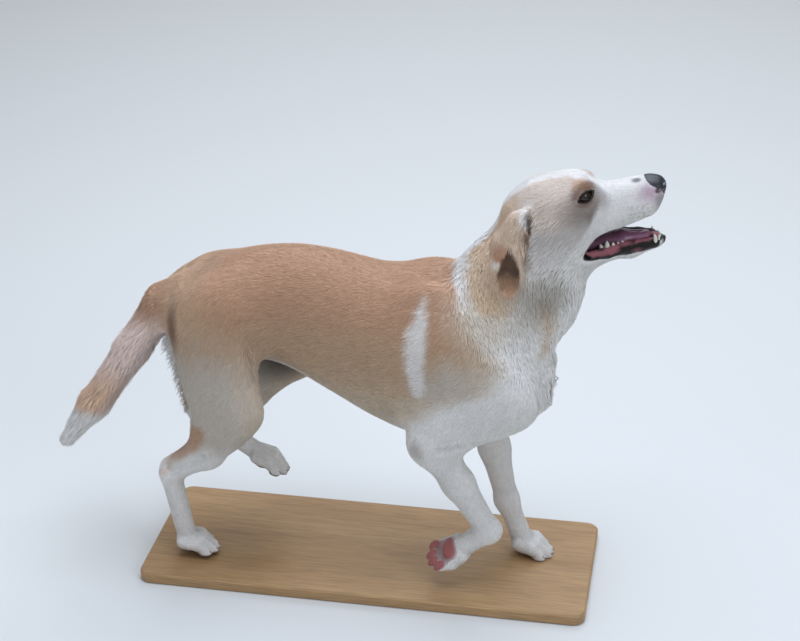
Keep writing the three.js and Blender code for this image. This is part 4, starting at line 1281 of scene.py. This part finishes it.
SHORT = Tuft("short", 288_000, 1, 0.2, [(0, 3, 2), (2, 3, 1)], [(0, 1, 3)], [(0, 2, 1)])
LONG = Tuft(
    "long", 33_000, 2, 0.06,
    [(0, 3, 5), (0, 5, 2), (2, 5, 4), (2, 4, 1), (3, 6, 5), (5, 6, 4)],
    [(0, 1, 4), (0, 4, 3), (3, 4, 6)], [(0, 2, 1)],
)
# Painted depth shade down each tuft: darker rows at the root, paler at the tip.
ROW_DEPTH_SHADE, TIP_DEPTH_SHADE = [0.86, 0.86, 0.9, 0.97, 0.97, 1.0], [1.06]
LONG_FROM = (13.5, 16)  # mm of length over which tufts turn from short to long


def plant(kind, sunk, faces, normals, coat, bare, rng):
    """Roots spread over the skin, thickest where tufts are small, none where it is bare."""
    corners = sunk[faces]
    area = length_of(np.cross(corners[:, 1] - corners[:, 0], corners[:, 2] - corners[:, 0])) / 2
    per_tuft = (coat["long"] * coat["wide"])[faces].mean(axis=1)
    share = fade(coat["long"][faces].mean(axis=1), *LONG_FROM)
    share = share if kind is LONG else 1 - share
    total = np.cumsum(area / per_tuft * share * (bare[faces].max(axis=1) < 0.5))
    steps = (np.arange(kind.count) + rng.random(kind.count)) / kind.count * total[-1]
    face = np.clip(np.searchsorted(total, steps), 0, len(faces) - 1)
    a, b = rng.random(kind.count), rng.random(kind.count)
    a, b = np.where(a + b > 1, 1 - a, a), np.where(a + b > 1, 1 - b, b)
    share = np.stack([1 - a - b, a, b], axis=1)
    place = (sunk[faces[face]] * share[:, :, None]).sum(axis=1)
    normal = (normals[faces[face]] * share[:, :, None]).sum(axis=1)
    return place, normal / length_of(normal)[:, None]


def lift_to(space, values, places, height):
    """Places moved along the field's slope to a height over the coat's outer surface."""
    for _ in range(2):
        found, slope = space.read(values, places)
        slope /= np.maximum(length_of(slope), 0.2)[:, None]
        places = places + slope * np.clip(height - found, -8, 8)[:, None]
    return places, slope


def tuft_colours(kind, roots, colour, rng):
    """Each tuft's colours, darker towards its root and paler at its tip as painted shade down in the coat; a
    few tufts in the tan are tipped with sable.
    """
    n = len(roots)
    shade = 1 + rng.normal(0, 0.045, n) + noise(roots, 7, 31) * 0.04
    dark = (rng.random(n) < kind.dark_share) * rng.uniform(0.1, 0.45, n)
    tanned = fade(colour[:, 0] - colour[:, 2], 0.12, 0.3)
    colour = paint(colour, "sable", dark * tanned)
    colour = paint(colour, "slate", dark * (1 - tanned) * 0.2)
    # painted depth shade along each tuft
    tones = np.array(ROW_DEPTH_SHADE[:3 * kind.rows] + TIP_DEPTH_SHADE)
    return np.clip(colour[:, None, :] * (shade[:, None] * tones)[:, :, None], 0, 1)


def make_tufts(kind, space, values, roots, normals, rng):
    """Every tuft of a kind as a thin blade along the body: points, colours, corner normals, coat."""
    coat = coat_at(roots + normals * 1.0, normals)
    colour = full_colour(roots, normals, coat)
    n = len(roots)
    swing = rng.normal(0, 0.12, n) + noise(roots, 9, 21) * 0.12
    across = np.cross(normals, coat["lie"])
    lie = coat["lie"] * np.cos(swing)[:, None] + across * np.sin(swing)[:, None]
    long = (coat["long"] * rng.uniform(0.7, 1.25, n))[:, None]
    half = (coat["wide"] * rng.uniform(0.7, 1.25, n) / 2)[:, None]
    stand = rng.uniform(-0.5, 0.12, n) * coat["deep"] + rng.random(n) ** 2 * coat["lift"]
    centre, up = roots - normals * 0.25, normals
    rows, ups, ways = [], [], []
    if kind.rows == 2:
        mid, mid_up = lift_to(space, values, roots + lie * long * 0.5, stand * 0.8 - 0.15 * coat["deep"])
        tip, _ = lift_to(space, values, mid + steady(mid - roots) * long * 0.5, stand * 0.7)
        middles = [(centre, up, mid, 0.8), (mid, steady(mid_up), tip, 1.0)]
    else:
        tip, _ = lift_to(space, values, roots + lie * long, stand)
        middles = [(centre, up, tip, 1.0)]
    for place, above, ahead, share in middles:
        side = steady(np.cross(above, ahead - place))
        rows += [place - side * half * share, place + side * half * share, place + above * half * 0.4]
        lean = side * 0.4
        ups += [steady(above - lean), steady(above + lean), above]
        ways.append(side)
    points = np.stack(rows + [tip], axis=1)
    tilt = ways[-1] * rng.normal(0, 0.13, n)[:, None]
    top = steady(np.stack(ups + [ups[-1]], axis=1) + tilt[:, None, :])
    corner = top[:, kind.faces]
    corner[:, ~kind.of_top] = -up[:, None, None, :]
    corner[:, kind.of_end] = -lie[:, None, None, :]
    return points, tuft_colours(kind, roots, colour, rng), corner, coat


def unwrap(piece_points, strokes, nearest):
    """Each root's place on an unwrap of its part: round its nearest line, and along the whole chain."""
    u, v = np.zeros(len(piece_points)), np.zeros(len(piece_points))
    starts = np.cumsum([0] + [np.linalg.norm(s.b - s.a) for s in strokes])
    for i in np.unique(nearest):
        here = nearest == i
        s = strokes[i]
        _, t = line_distance(piece_points[here], s.a, s.b)
        axis = unit(s.b - s.a)
        side = unit(np.cross(axis, (0.1, 0.05, 1)))
        offset = piece_points[here] - s.a - (t * np.linalg.norm(s.b - s.a))[:, None] * axis
        u[here] = np.arctan2(offset @ np.cross(axis, side), offset @ side) / math.tau + 0.5
        v[here] = starts[i] + t * np.linalg.norm(s.b - s.a) + offset @ axis
    spread = max(np.ptp(v), TINY)
    return 0.01 + 0.98 * u, 0.01 + 0.98 * (v - v.min()) / spread


def add_unwrap(piece, kind, u, v):
    along = [(-0.5, 0), (0.5, 0), (0, 0), (-0.5, 0.5), (0.5, 0.5), (0, 0.5)][:3 * kind.rows] + [(0, 1)]
    at_points = np.stack([u, v], axis=1)[:, None, :] + np.array(along)[None] * PATCH
    index = np.empty(len(piece.data.loops), np.int32)
    piece.data.loops.foreach_get("vertex_index", index)
    layer = piece.data.uv_layers.new(name="OFBake")
    layer.uv.foreach_set("vector", at_points.reshape(-1, 2)[index].astype(np.float32).ravel())


def make_coat(space, values, bed, material):
    rng = np.random.default_rng(SEEDS["coat"])
    strokes = all_strokes()
    for kind in (SHORT, LONG):
        roots, root_normals = plant(kind, *bed, rng)
        points, colours, corner, at_root = make_tufts(kind, space, values, roots, root_normals, rng)
        parts = np.array([s.part for s in strokes])[at_root["nearest"]]
        size = points.shape[1]
        for part in sorted(set(parts)):
            own = np.flatnonzero(parts == part)
            own = own[np.argsort(roots[own] @ (1, 0.01, 0.4), kind="stable")]
            pieces = math.ceil(len(own) / kind.per_piece)
            for number, chosen in enumerate(np.array_split(own, pieces), 1):
                name = f"coat_{kind.name}_{part}" + (f"_{number}" if pieces > 1 else "")
                corners = (kind.faces[None] + size * np.arange(len(chosen))[:, None, None]).reshape(-1, 3)
                piece = mesh_object(name, points[chosen].reshape(-1, 3), corners)
                piece.data.normals_split_custom_set(corner[chosen].reshape(-1, 3))
                put(piece, "hair", "FLOAT_COLOR", colours[chosen].reshape(-1, 3))
                add_unwrap(piece, kind, *unwrap(roots[chosen], strokes, at_root["nearest"][chosen]))
                finished(piece, material, "coat")


# ---------------------------------------------------------------- nose, mouth, eyes, claws


# Where the leather ends behind, as (up, forwards) rows.
NOSE_BACK = [
    (-36, 113), (-30, 108), (-22, 104.5), (-17, 101), (-14, 95), (-8, 89), (-3, 86.5), (10, 86),
]


def nose_region():
    """The leather of the nose, cut from the head's flesh."""

    def distance(space):
        x, y, z = along_axes(space, HEAD_AT, HEAD_AXES)
        back = follow(NOSE_BACK, z)
        below = -34 + 0.012 * y * y
        side = np.abs(y) - 21
        return np.maximum(np.maximum(back - x + 0.008 * y * y, below - z), side)

    centre = on_head((104, 0, -14))
    return Shape(distance, centre - 40, centre + 40, 3)


def make_nose():
    centre = on_head((102, 0, -14))
    space = Space.box(centre - 34, centre + 34, 0.8)
    values = body_values(space)
    for shape in nostrils():
        carve(values, space, shape)
    for shape in head_limb((121, 0, -20), (108, 0, -38), 1.4, 1.6, blend=2.5):
        carve(values, space, shape)
    region = nose_region().distance(space)
    values = -smooth_min(-values, -region, 3.0)
    points, quads = surface(values, space)
    return mesh_object("nose_leather", points, quads)


def make_tongue():
    shapes = [
        *head_limb((-16, 0, -87), (38, 0, -88), 10.5, 10.5, flat=1.3, blend=1),
        *head_limb((38, 0, -88), (73, 0, -92), 10.5, 7, flat=1.4, blend=8),
    ]
    space = Space.box(on_head((26, 0, -94)) - 64, on_head((26, 0, -94)) + 64, 1.5)
    values = group(shapes, 1).distance(space)
    carve(values, space, head_limb((0, 0, -78), (66, 0, -85.5), 2.4, 1.2, blend=5)[0])
    points, quads = surface(values, space)
    return mesh_object("tongue_flesh", points, quads)


def spike_rows(a, b, radius, bend, sides=10, rings=7):
    """Points and triangles of a tapered, slightly bent spike from a to b."""
    a, b, bend = np.asarray(a, float), np.asarray(b, float), np.asarray(bend, float)
    axis = unit(b - a)
    side = unit(np.cross(axis, (0.3, 0.2, 0.93)))
    other = np.cross(axis, side)
    points = []
    for i in range(rings):
        t = i / rings
        r = radius * (1 - t**1.7) ** 0.8
        centre = between(a, b, t) + bend * (4 * t * (1 - t))
        for k in range(sides):
            turn = math.tau * k / sides
            points.append(centre + (side * math.cos(turn) + other * math.sin(turn)) * r)
    points += [b, a]
    last, tip, base = (rings - 1) * sides, len(points) - 2, len(points) - 1
    faces = tube_faces(rings, sides)
    for k in range(sides):
        n = (k + 1) % sides
        faces += [(last + k, last + n, tip), (n, k, base)]
    return np.array(points), np.array(faces)


def joined(name, parts):
    """One piece from many (points, faces)."""
    points, faces, start = [], [], 0
    for own_points, own_faces in parts:
        points.append(own_points)
        faces.append(own_faces + start)
        start += len(own_points)
    return mesh_object(name, np.concatenate(points), np.concatenate(faces))


def make_teeth():
    """Teeth as rows of (root, tip, radius) on one side: canine, cheek teeth of a few cusps, incisors."""
    lower = [
        ((83, 12.5, -103), (84, 15, -87), 3.7),
        ((4, 18.5, -92), (3, 19.5, -82.5), 4.2),
        ((12, 18, -93), (14, 19, -79.5), 5.0),
        ((20, 17.5, -93), (22, 18.3, -84.5), 3.8),
        ((28, 16.5, -94), (28.5, 17, -86), 3.2),
        ((35, 15.5, -95), (35.5, 16.2, -85.5), 3.4),
    ]
    lower += [((90 - y * 0.3, y, -104), (95 - y * 0.4, y, -93), 2.2) for y in (2.2, 6.6, 10.4)]
    upper = [((82, 14, -44), (85, 14.5, -60), 3.6)]
    upper += [((97 - y * 0.4, y, -44), (98 - y * 0.4, y, -56), 2.2) for y in (2.6, 7.4, 11.6)]
    parts = []
    for root, tip, radius in lower + upper:
        bend = HEAD_TURN @ (1.2, 0, 0) if radius < 4 else (0, 0, 0)
        for side in (-1, 1):
            ends = [on_head(np.multiply(place, (1, side, 1))) for place in (root, tip)]
            parts.append(spike_rows(*ends, radius, bend))
    return joined("teeth_enamel", parts)


def make_claws():
    parts = []
    for paw in PAWS.values():
        _, toes, axes = paw_plan(paw)
        for _, _, _, base, tip in toes:
            parts.append(spike_rows(base - axes[0] * 3, between(base, tip, 0.85), 2.6, axes[2] * 1.8))
    return joined("claw_horn", parts)


def make_whiskers():
    """Three rows of whiskers along each side of the muzzle."""
    rng = np.random.default_rng(SEEDS["whiskers"])
    bend = HEAD_TURN @ (1.5, 0, 1.0)
    parts = []
    for side in (-1, 1):
        for row, height in enumerate((-30, -36, -42)):
            for x in (62, 72, 82):
                root = np.array((x - row * 4, (20 - (x - 62) * 0.2) * side, height))
                long = rng.uniform(18, 34)
                way = unit(np.array((-0.35, 1.0 * side, -0.35)) + rng.normal(0, 0.12, 3))
                parts.append(spike_rows(on_head(root), on_head(root + way * long), 0.3, bend, 4, 5))
    return joined("whiskers", parts)


def make_eyeball(side):
    """The ball with its clear dome raised over the iris, and the colours that ring it."""
    centre, look, slit, up = eye_frame(side)
    radius, rings, sides = EYE["radius"], 40, 48
    points, colours = [], []
    for i in range(1, rings):
        angle = math.pi * (i / rings) ** 1.3
        dome = EYE_DOME * (1 - fade(angle, 0.30, 0.72))
        for k in range(sides):
            turn = math.tau * k / sides
            way = look * math.cos(angle) + (slit * math.cos(turn) + up * math.sin(turn)) * math.sin(angle)
            points.append(centre + way * (radius + dome))
            fibre = 0.85 + 0.15 * math.sin(turn * 11 + 2 * math.sin(turn * 5))
            colours.append(eye_colour(angle, fibre))
    points += [centre + look * (radius + EYE_DOME), centre - look * radius]
    colours += [linear("#050404"), linear("#8A7468")]
    front, back, last = len(points) - 2, len(points) - 1, (rings - 2) * sides
    faces = [face[::-1] for face in tube_faces(rings - 1, sides)]
    for k in range(sides):
        n = (k + 1) % sides
        faces += [(front, k, n), (back, last + n, last + k)]
    piece = mesh_object("eyeball_left" if side > 0 else "eyeball_right", points, faces)
    put(piece, "hair", "FLOAT_COLOR", np.array(colours))
    return piece


def eye_colour(angle, fibre):
    """Pupil, brown iris with a dark rim, then the stained white of a dog's eye."""
    pupil, iris, rim, white = (np.array(linear(c)) for c in ("#040303", "#4B2B17", "#120A07", "#3A2A23"))
    colour = between(pupil, iris * fibre, fade(angle, 0.30, 0.36))
    colour = between(colour, rim, fade(angle, 0.60, 0.68))
    return between(colour, white, fade(angle, 0.74, 0.84))


RIM_OUT, RIM_UP = 0.8, 1.0  # half-thickness of the lid's wet rim


def make_lid_rim(side, space, values):
    """The dark wet rim that runs round the almond between the lids, on the surface of the lids."""
    centre, look, slit, up = eye_frame(side)
    count, sides = 64, 10
    middle = []
    for i in range(count):
        turn = math.tau * i / count
        u = math.cos(turn) * EYE_LONG / 2
        v = math.copysign(slit_half(u), math.sin(turn))
        middle.append(centre + slit * u * 1.03 + up * v + look * 12)
    middle = np.array(middle)
    for _ in range(6):
        gap, slope = space.read(values, middle)
        steep = np.maximum(slope @ look, 0.35)
        middle -= look * np.clip((gap + 0.6) / steep, -3, 3)[:, None]
    along = np.roll(middle, -1, axis=0) - np.roll(middle, 1, axis=0)
    along = steady(along)
    outward = middle - centre
    outward = steady(outward - along * (outward * along).sum(axis=1, keepdims=True))
    sideways = np.cross(along, outward)
    points = []
    for i in range(count):
        for k in range(sides):
            turn = math.tau * k / sides
            across = outward[i] * math.cos(turn) * RIM_OUT + sideways[i] * math.sin(turn) * RIM_UP
            points.append(middle[i] + across)
    faces = tube_faces(count, sides, closed=True)
    return mesh_object("lid_rim_left" if side > 0 else "lid_rim_right", points, faces)


# ---------------------------------------------------------------- materials


def node(tree, kind, settings=None, **inputs):
    """Adds a node with its settings and links; an input named i0, i1 ... is taken by number."""
    made = tree.nodes.new(kind)
    for name, value in (settings or {}).items():
        setattr(made, name, value)
    for name, value in inputs.items():
        socket = made.inputs[int(name[1:])] if name[1:].isdigit() else made.inputs[name.replace("_", " ")]
        if isinstance(value, bpy.types.NodeSocket):
            tree.links.new(value, socket)
        else:
            socket.default_value = value
    return made


def new_material(name, roughness, ior=1.45, **inputs):
    material = bpy.data.materials.new(name)
    material.use_nodes = True
    tree = material.node_tree
    shader = tree.nodes["Principled BSDF"]
    shader.inputs["Roughness"].default_value = roughness
    shader.inputs["IOR"].default_value = ior
    for label, value in inputs.items():
        shader.inputs[label.replace("_", " ")].default_value = value
    return material, tree, shader


def stretched_noise(tree, scale, stretch, detail=3):
    """Noise on the piece's own coordinates, drawn out along the axis with the smallest stretch."""
    place = node(tree, "ShaderNodeTexCoord").outputs["Object"]
    mapped = node(tree, "ShaderNodeMapping", Vector=place, Scale=stretch).outputs["Vector"]
    return node(tree, "ShaderNodeTexNoise", Vector=mapped, Scale=scale, Detail=detail).outputs["Fac"]


def stored(tree, name, output="Color"):
    """What a piece's points carry under a name."""
    return node(tree, "ShaderNodeAttribute", {"attribute_name": name}).outputs[output]


def two_tones(tree, share, dark, light):
    mixed = node(tree, "ShaderNodeMix", {"data_type": "RGBA"}, Factor=share, i6=rgba(dark), i7=rgba(light))
    return mixed.outputs[2]


def toned(tree, colour, value, low, high, dark, light):
    """A colour scaled from dark to light as a value goes from low to high."""
    span = {"From_Min": low, "From_Max": high, "To_Min": dark, "To_Max": light}
    scale = node(tree, "ShaderNodeMapRange", Value=value, **span).outputs["Result"]
    scaled = node(tree, "ShaderNodeVectorMath", {"operation": "SCALE"}, i0=colour, Scale=scale)
    return scaled.outputs["Vector"]


def cells(tree, scale, randomness=1.0):
    """Small cells on the piece's own coordinates: distance from each one's middle."""
    place = node(tree, "ShaderNodeTexCoord").outputs["Object"]
    made = node(tree, "ShaderNodeTexVoronoi", Vector=place, Scale=scale, Randomness=randomness)
    return made.outputs["Distance"]


def add_relief(tree, shader, height, strength, depth):
    """Raises the surface where the height is high; depth is in metres."""
    bump = node(tree, "ShaderNodeBump", Height=height, Strength=strength, Distance=depth)
    tree.links.new(bump.outputs["Normal"], shader.inputs["Normal"])
    return bump


def mottled(name, roughness, ior, scale, dark, light, **inputs):
    """A material whose colour drifts between two tones, and the noise it drifts by."""
    material, tree, shader = new_material(name, roughness, ior, **inputs)
    patches = stretched_noise(tree, scale, (1, 1, 1))
    tree.links.new(two_tones(tree, patches, dark, light), shader.inputs["Base Color"])
    return material, tree, shader, patches


def hair_material():
    """Short dog hair: matt, with a faint sheen where it is seen edge on."""
    finish = {"Sheen_Weight": 0.18, "Sheen_Roughness": 0.45, "Specular_IOR_Level": 0.28}
    material, tree, shader = new_material("dog_hair", 0.62, 1.5, **finish)
    strands = stretched_noise(tree, 1500, (0.25, 1, 0.5), 2)
    colour = toned(tree, stored(tree, "hair"), strands, 0.3, 0.7, 0.88, 1.1)
    tree.links.new(colour, shader.inputs["Base Color"])
    return material


def skin_material():
    """Skin under short flat hair, which reads as darker streaks, partly painted shade under the coat, and
    bare wet skin at lips, lids and pads.
    """
    finish = {"Sheen_Weight": 0.1, "Specular_IOR_Level": 0.3}
    material, tree, shader = new_material("dog_skin_and_undercoat", 0.7, 1.45, **finish)
    hair, bare, hanging = stored(tree, "hair"), stored(tree, "bare", "Fac"), stored(tree, "hanging", "Fac")
    back = stretched_noise(tree, 420, (0.12, 1, 1))
    down = stretched_noise(tree, 420, (1, 1, 0.12))
    streaks = node(tree, "ShaderNodeMix", Factor=hanging, A=back, B=down).outputs["Result"]
    pores = stretched_noise(tree, 900, (1, 1, 1))
    relief = node(tree, "ShaderNodeMix", Factor=bare, A=streaks, B=pores).outputs["Result"]
    add_relief(tree, shader, relief, 0.55, 0.0012)
    # The furred skin is darkened in streaks to between about four fifths and full: partly painted shade
    # under the coat.
    furred = toned(tree, hair, streaks, 0.3, 0.7, 0.78, 1.0)
    colour = node(tree, "ShaderNodeMix", {"data_type": "RGBA"}, Factor=bare, i6=furred, i7=hair)
    gloss = node(tree, "ShaderNodeMapRange", Value=bare, To_Min=0.72, To_Max=0.32)
    tree.links.new(colour.outputs[2], shader.inputs["Base Color"])
    tree.links.new(gloss.outputs["Result"], shader.inputs["Roughness"])
    return material


def nose_material():
    """Nose leather: damp black skin in pebbles about 1 mm across, greyer in patches."""
    material, tree, shader, _ = mottled(
        "nose_leather", 0.38, 1.42, 90, "#0B0B0E", "#2B2C34", Coat_Weight=0.25, Coat_Roughness=0.3)
    bump = add_relief(tree, shader, cells(tree, 900, 0.9), 0.5, 0.0004)
    bump.invert = True
    return material


def tongue_material():
    """Tongue: wet, finely pimpled muscle, dark pink."""
    material, tree, shader, _ = mottled(
        "wet_tongue", 0.3, 1.4, 60, "#70445E", "#A0718A", Coat_Weight=0.4, Coat_Roughness=0.12)
    add_relief(tree, shader, cells(tree, 1100), 0.35, 0.0004)
    return material


def enamel_material():
    """Tooth enamel: glossy ivory, yellower in patches."""
    finish = {"Coat_Weight": 0.3, "Coat_Roughness": 0.08}
    return mottled("tooth_enamel", 0.22, 1.62, 160, "#D2CABB", "#F0ECE4", **finish)[0]


def horn_material():
    """Claw horn: smooth, pale grey-brown in patches."""
    return mottled("claw_horn", 0.35, 1.55, 500, "#5F544B", "#B9AC9C")[0]


def whisker_material():
    return mottled("whisker_hair", 0.4, 1.55, 30, "#8C8783", "#EDEAE4")[0]


def lid_material():
    """The black, finely grained leather of the eyelids' rims."""
    material, tree, shader, grain = mottled("lid_leather", 0.6, 1.4, 800, "#060504", "#17110E")
    add_relief(tree, shader, grain, 0.3, 0.0003)
    return material


def eye_material():
    """The wet eye: painted depth under a clear, mirror-smooth coat."""
    material, tree, shader = new_material("wet_eye", 0.3, 1.36, Coat_Weight=0.6, Coat_Roughness=0.03)
    veins = stretched_noise(tree, 700, (1, 1, 1))
    tree.links.new(toned(tree, stored(tree, "hair"), veins, 0, 1, 0.85, 1.1), shader.inputs["Base Color"])
    return material


def oak_material():
    """Oiled oak board: grain along its length, with darker pores."""
    material, tree, shader = new_material("oiled_oak", 0.48, 1.5)
    rings = stretched_noise(tree, 26, (0.09, 1, 1), 5)
    pores = stretched_noise(tree, 700, (0.03, 1, 1), 2)
    grain = two_tones(tree, rings, "#8E6A43", "#C9A373")
    tree.links.new(toned(tree, grain, pores, 0.35, 0.6, 0.72, 1.0), shader.inputs["Base Color"])
    add_relief(tree, shader, pores, 0.25, 0.0004)
    return material


def floor_material():
    material, _, shader = new_material("studio_paper", 0.9)
    shader.inputs["Base Color"].default_value = rgba("#D9DAD8")
    return material


# ---------------------------------------------------------------- the dog

FLESH = [
    "trunk", "neck", "head", "jaw", "ear_right", "ear_left", "tail",
    "foreleg_right", "foreleg_left", "hindleg_right", "hindleg_left",
    "paw_fore_right", "paw_fore_left", "paw_hind_right", "paw_hind_left",
]
NOSTRIL_ROOM = 1.4  # mm by which the skin keeps clear of the nose leather's nostrils


def make_skin_and_coat(space, values):
    """The skin is cut away for the eyes and nostrils; the coat lies over the uncut body."""
    carved = values.copy()
    for hollow in [eye_opening(-1), eye_opening(1), *nostrils(NOSTRIL_ROOM)]:
        carve(carved, space, hollow)
    skin, coat_bed = make_skin(space, carved)
    finished(skin, skin_material(), "coat", *FLESH)
    make_coat(space, values, coat_bed, hair_material())


def make_mouth_and_trim():
    finished(make_nose(), nose_material(), "nose", "nose")
    finished(make_tongue(), tongue_material(), "tongue", "tongue")
    finished(make_teeth(), enamel_material(), "tongue")
    finished(make_claws(), horn_material(), "nose")
    finished(make_whiskers(), whisker_material(), "coat")


def make_eyes(space, values):
    wet_eye, lid_leather = eye_material(), lid_material()
    for side, node_name in ((-1, "eye_right"), (1, "eye_left")):
        finished(make_eyeball(side), wet_eye, "eye", node_name)
        finished(make_lid_rim(side, space, values), lid_leather, "nose")


def make_dog():
    space = Space.stepped(STEPS)
    values = body_values(space)
    make_skin_and_coat(space, values)
    make_mouth_and_trim()
    make_eyes(space, values)


def oil_board():
    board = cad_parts["stand_base"]
    board.data.materials.clear()
    board.data.materials.append(oak_material())


make_dog()
oil_board()

# ---------------------------------------------------------------- studio

TARGET = np.array([0, 0, 0.4374])
AZIMUTH, ELEVATION = math.radians(10), math.radians(26)
DISTANCE = 2.937  # metres from the target
SENSOR, FOCAL = 36, 2.375  # mm across, and the lens in sensor widths


def make_floor():
    """Pale paper that runs flat under the board and curves up far behind it."""
    rows = [(-5.0, 0.0), (5.2, 0.0), (5.8, 0.12), (6.3, 0.5), (6.5, 1.1), (6.5, 4.0)]
    points = [(x, y, z) for y, z in rows for x in (-6.0, 6.0)]
    faces = [(2 * i, 2 * i + 1, 2 * i + 3, 2 * i + 2) for i in range(len(rows) - 1)]
    mesh = bpy.data.meshes.new("floor")
    mesh.from_pydata(points, [], faces)
    floor = bpy.data.objects.new("floor", mesh)
    bpy.context.scene.collection.objects.link(floor)
    floor.data.materials.append(floor_material())


def make_camera():
    level = math.cos(ELEVATION)
    back = np.array([math.sin(AZIMUTH) * level, -math.cos(AZIMUTH) * level, math.sin(ELEVATION)])
    data = bpy.data.cameras.new("camera")
    data.sensor_width = SENSOR
    data.lens = SENSOR * FOCAL
    camera = bpy.data.objects.new("camera", data)
    camera.location = TARGET + back * DISTANCE
    camera.rotation_euler = (math.pi / 2 - ELEVATION, 0, AZIMUTH)
    bpy.context.scene.collection.objects.link(camera)
    bpy.context.scene.camera = camera


def make_light(name, place, aim, size, watts, colour):
    data = bpy.data.lights.new(name, "AREA")
    data.shape, data.size, data.energy = "DISK", size, watts
    data.color = linear(colour)
    lamp = bpy.data.objects.new(name, data)
    lamp.location = place
    way = np.array(aim, float) - np.array(place, float)
    across = math.hypot(way[0], way[1])
    lamp.rotation_euler = (math.atan2(across, -way[2]), 0, math.atan2(way[1], way[0]) - math.pi / 2)
    bpy.context.scene.collection.objects.link(lamp)


def light_world():
    """Soft light from all round, so that no shadow goes black."""
    world = bpy.data.worlds.new("studio")
    bpy.context.scene.world = world
    world.use_nodes = True
    background = world.node_tree.nodes["Background"]
    background.inputs["Color"].default_value = rgba("#DDE4EC")
    background.inputs["Strength"].default_value = 0.36


make_floor()
make_camera()
make_light("sky", (0.2, 0.0, 3.2), (0, 0, 0.4), 2.6, 88, "#E4EEFF")
make_light("backdrop", (0, 3.0, 3.4), (0, 2.4, 0), 3.0, 60, "#F4F8FF")
make_light("window", (2.6, -2.2, 2.0), (0, 0, 0.45), 1.8, 24, "#F4F8FF")
make_light("fill", (-2.6, -2.4, 1.4), (0, 0, 0.4), 2.4, 14, "#F4F6FF")
light_world()
bpy.context.scene.view_settings.view_transform = "Standard"
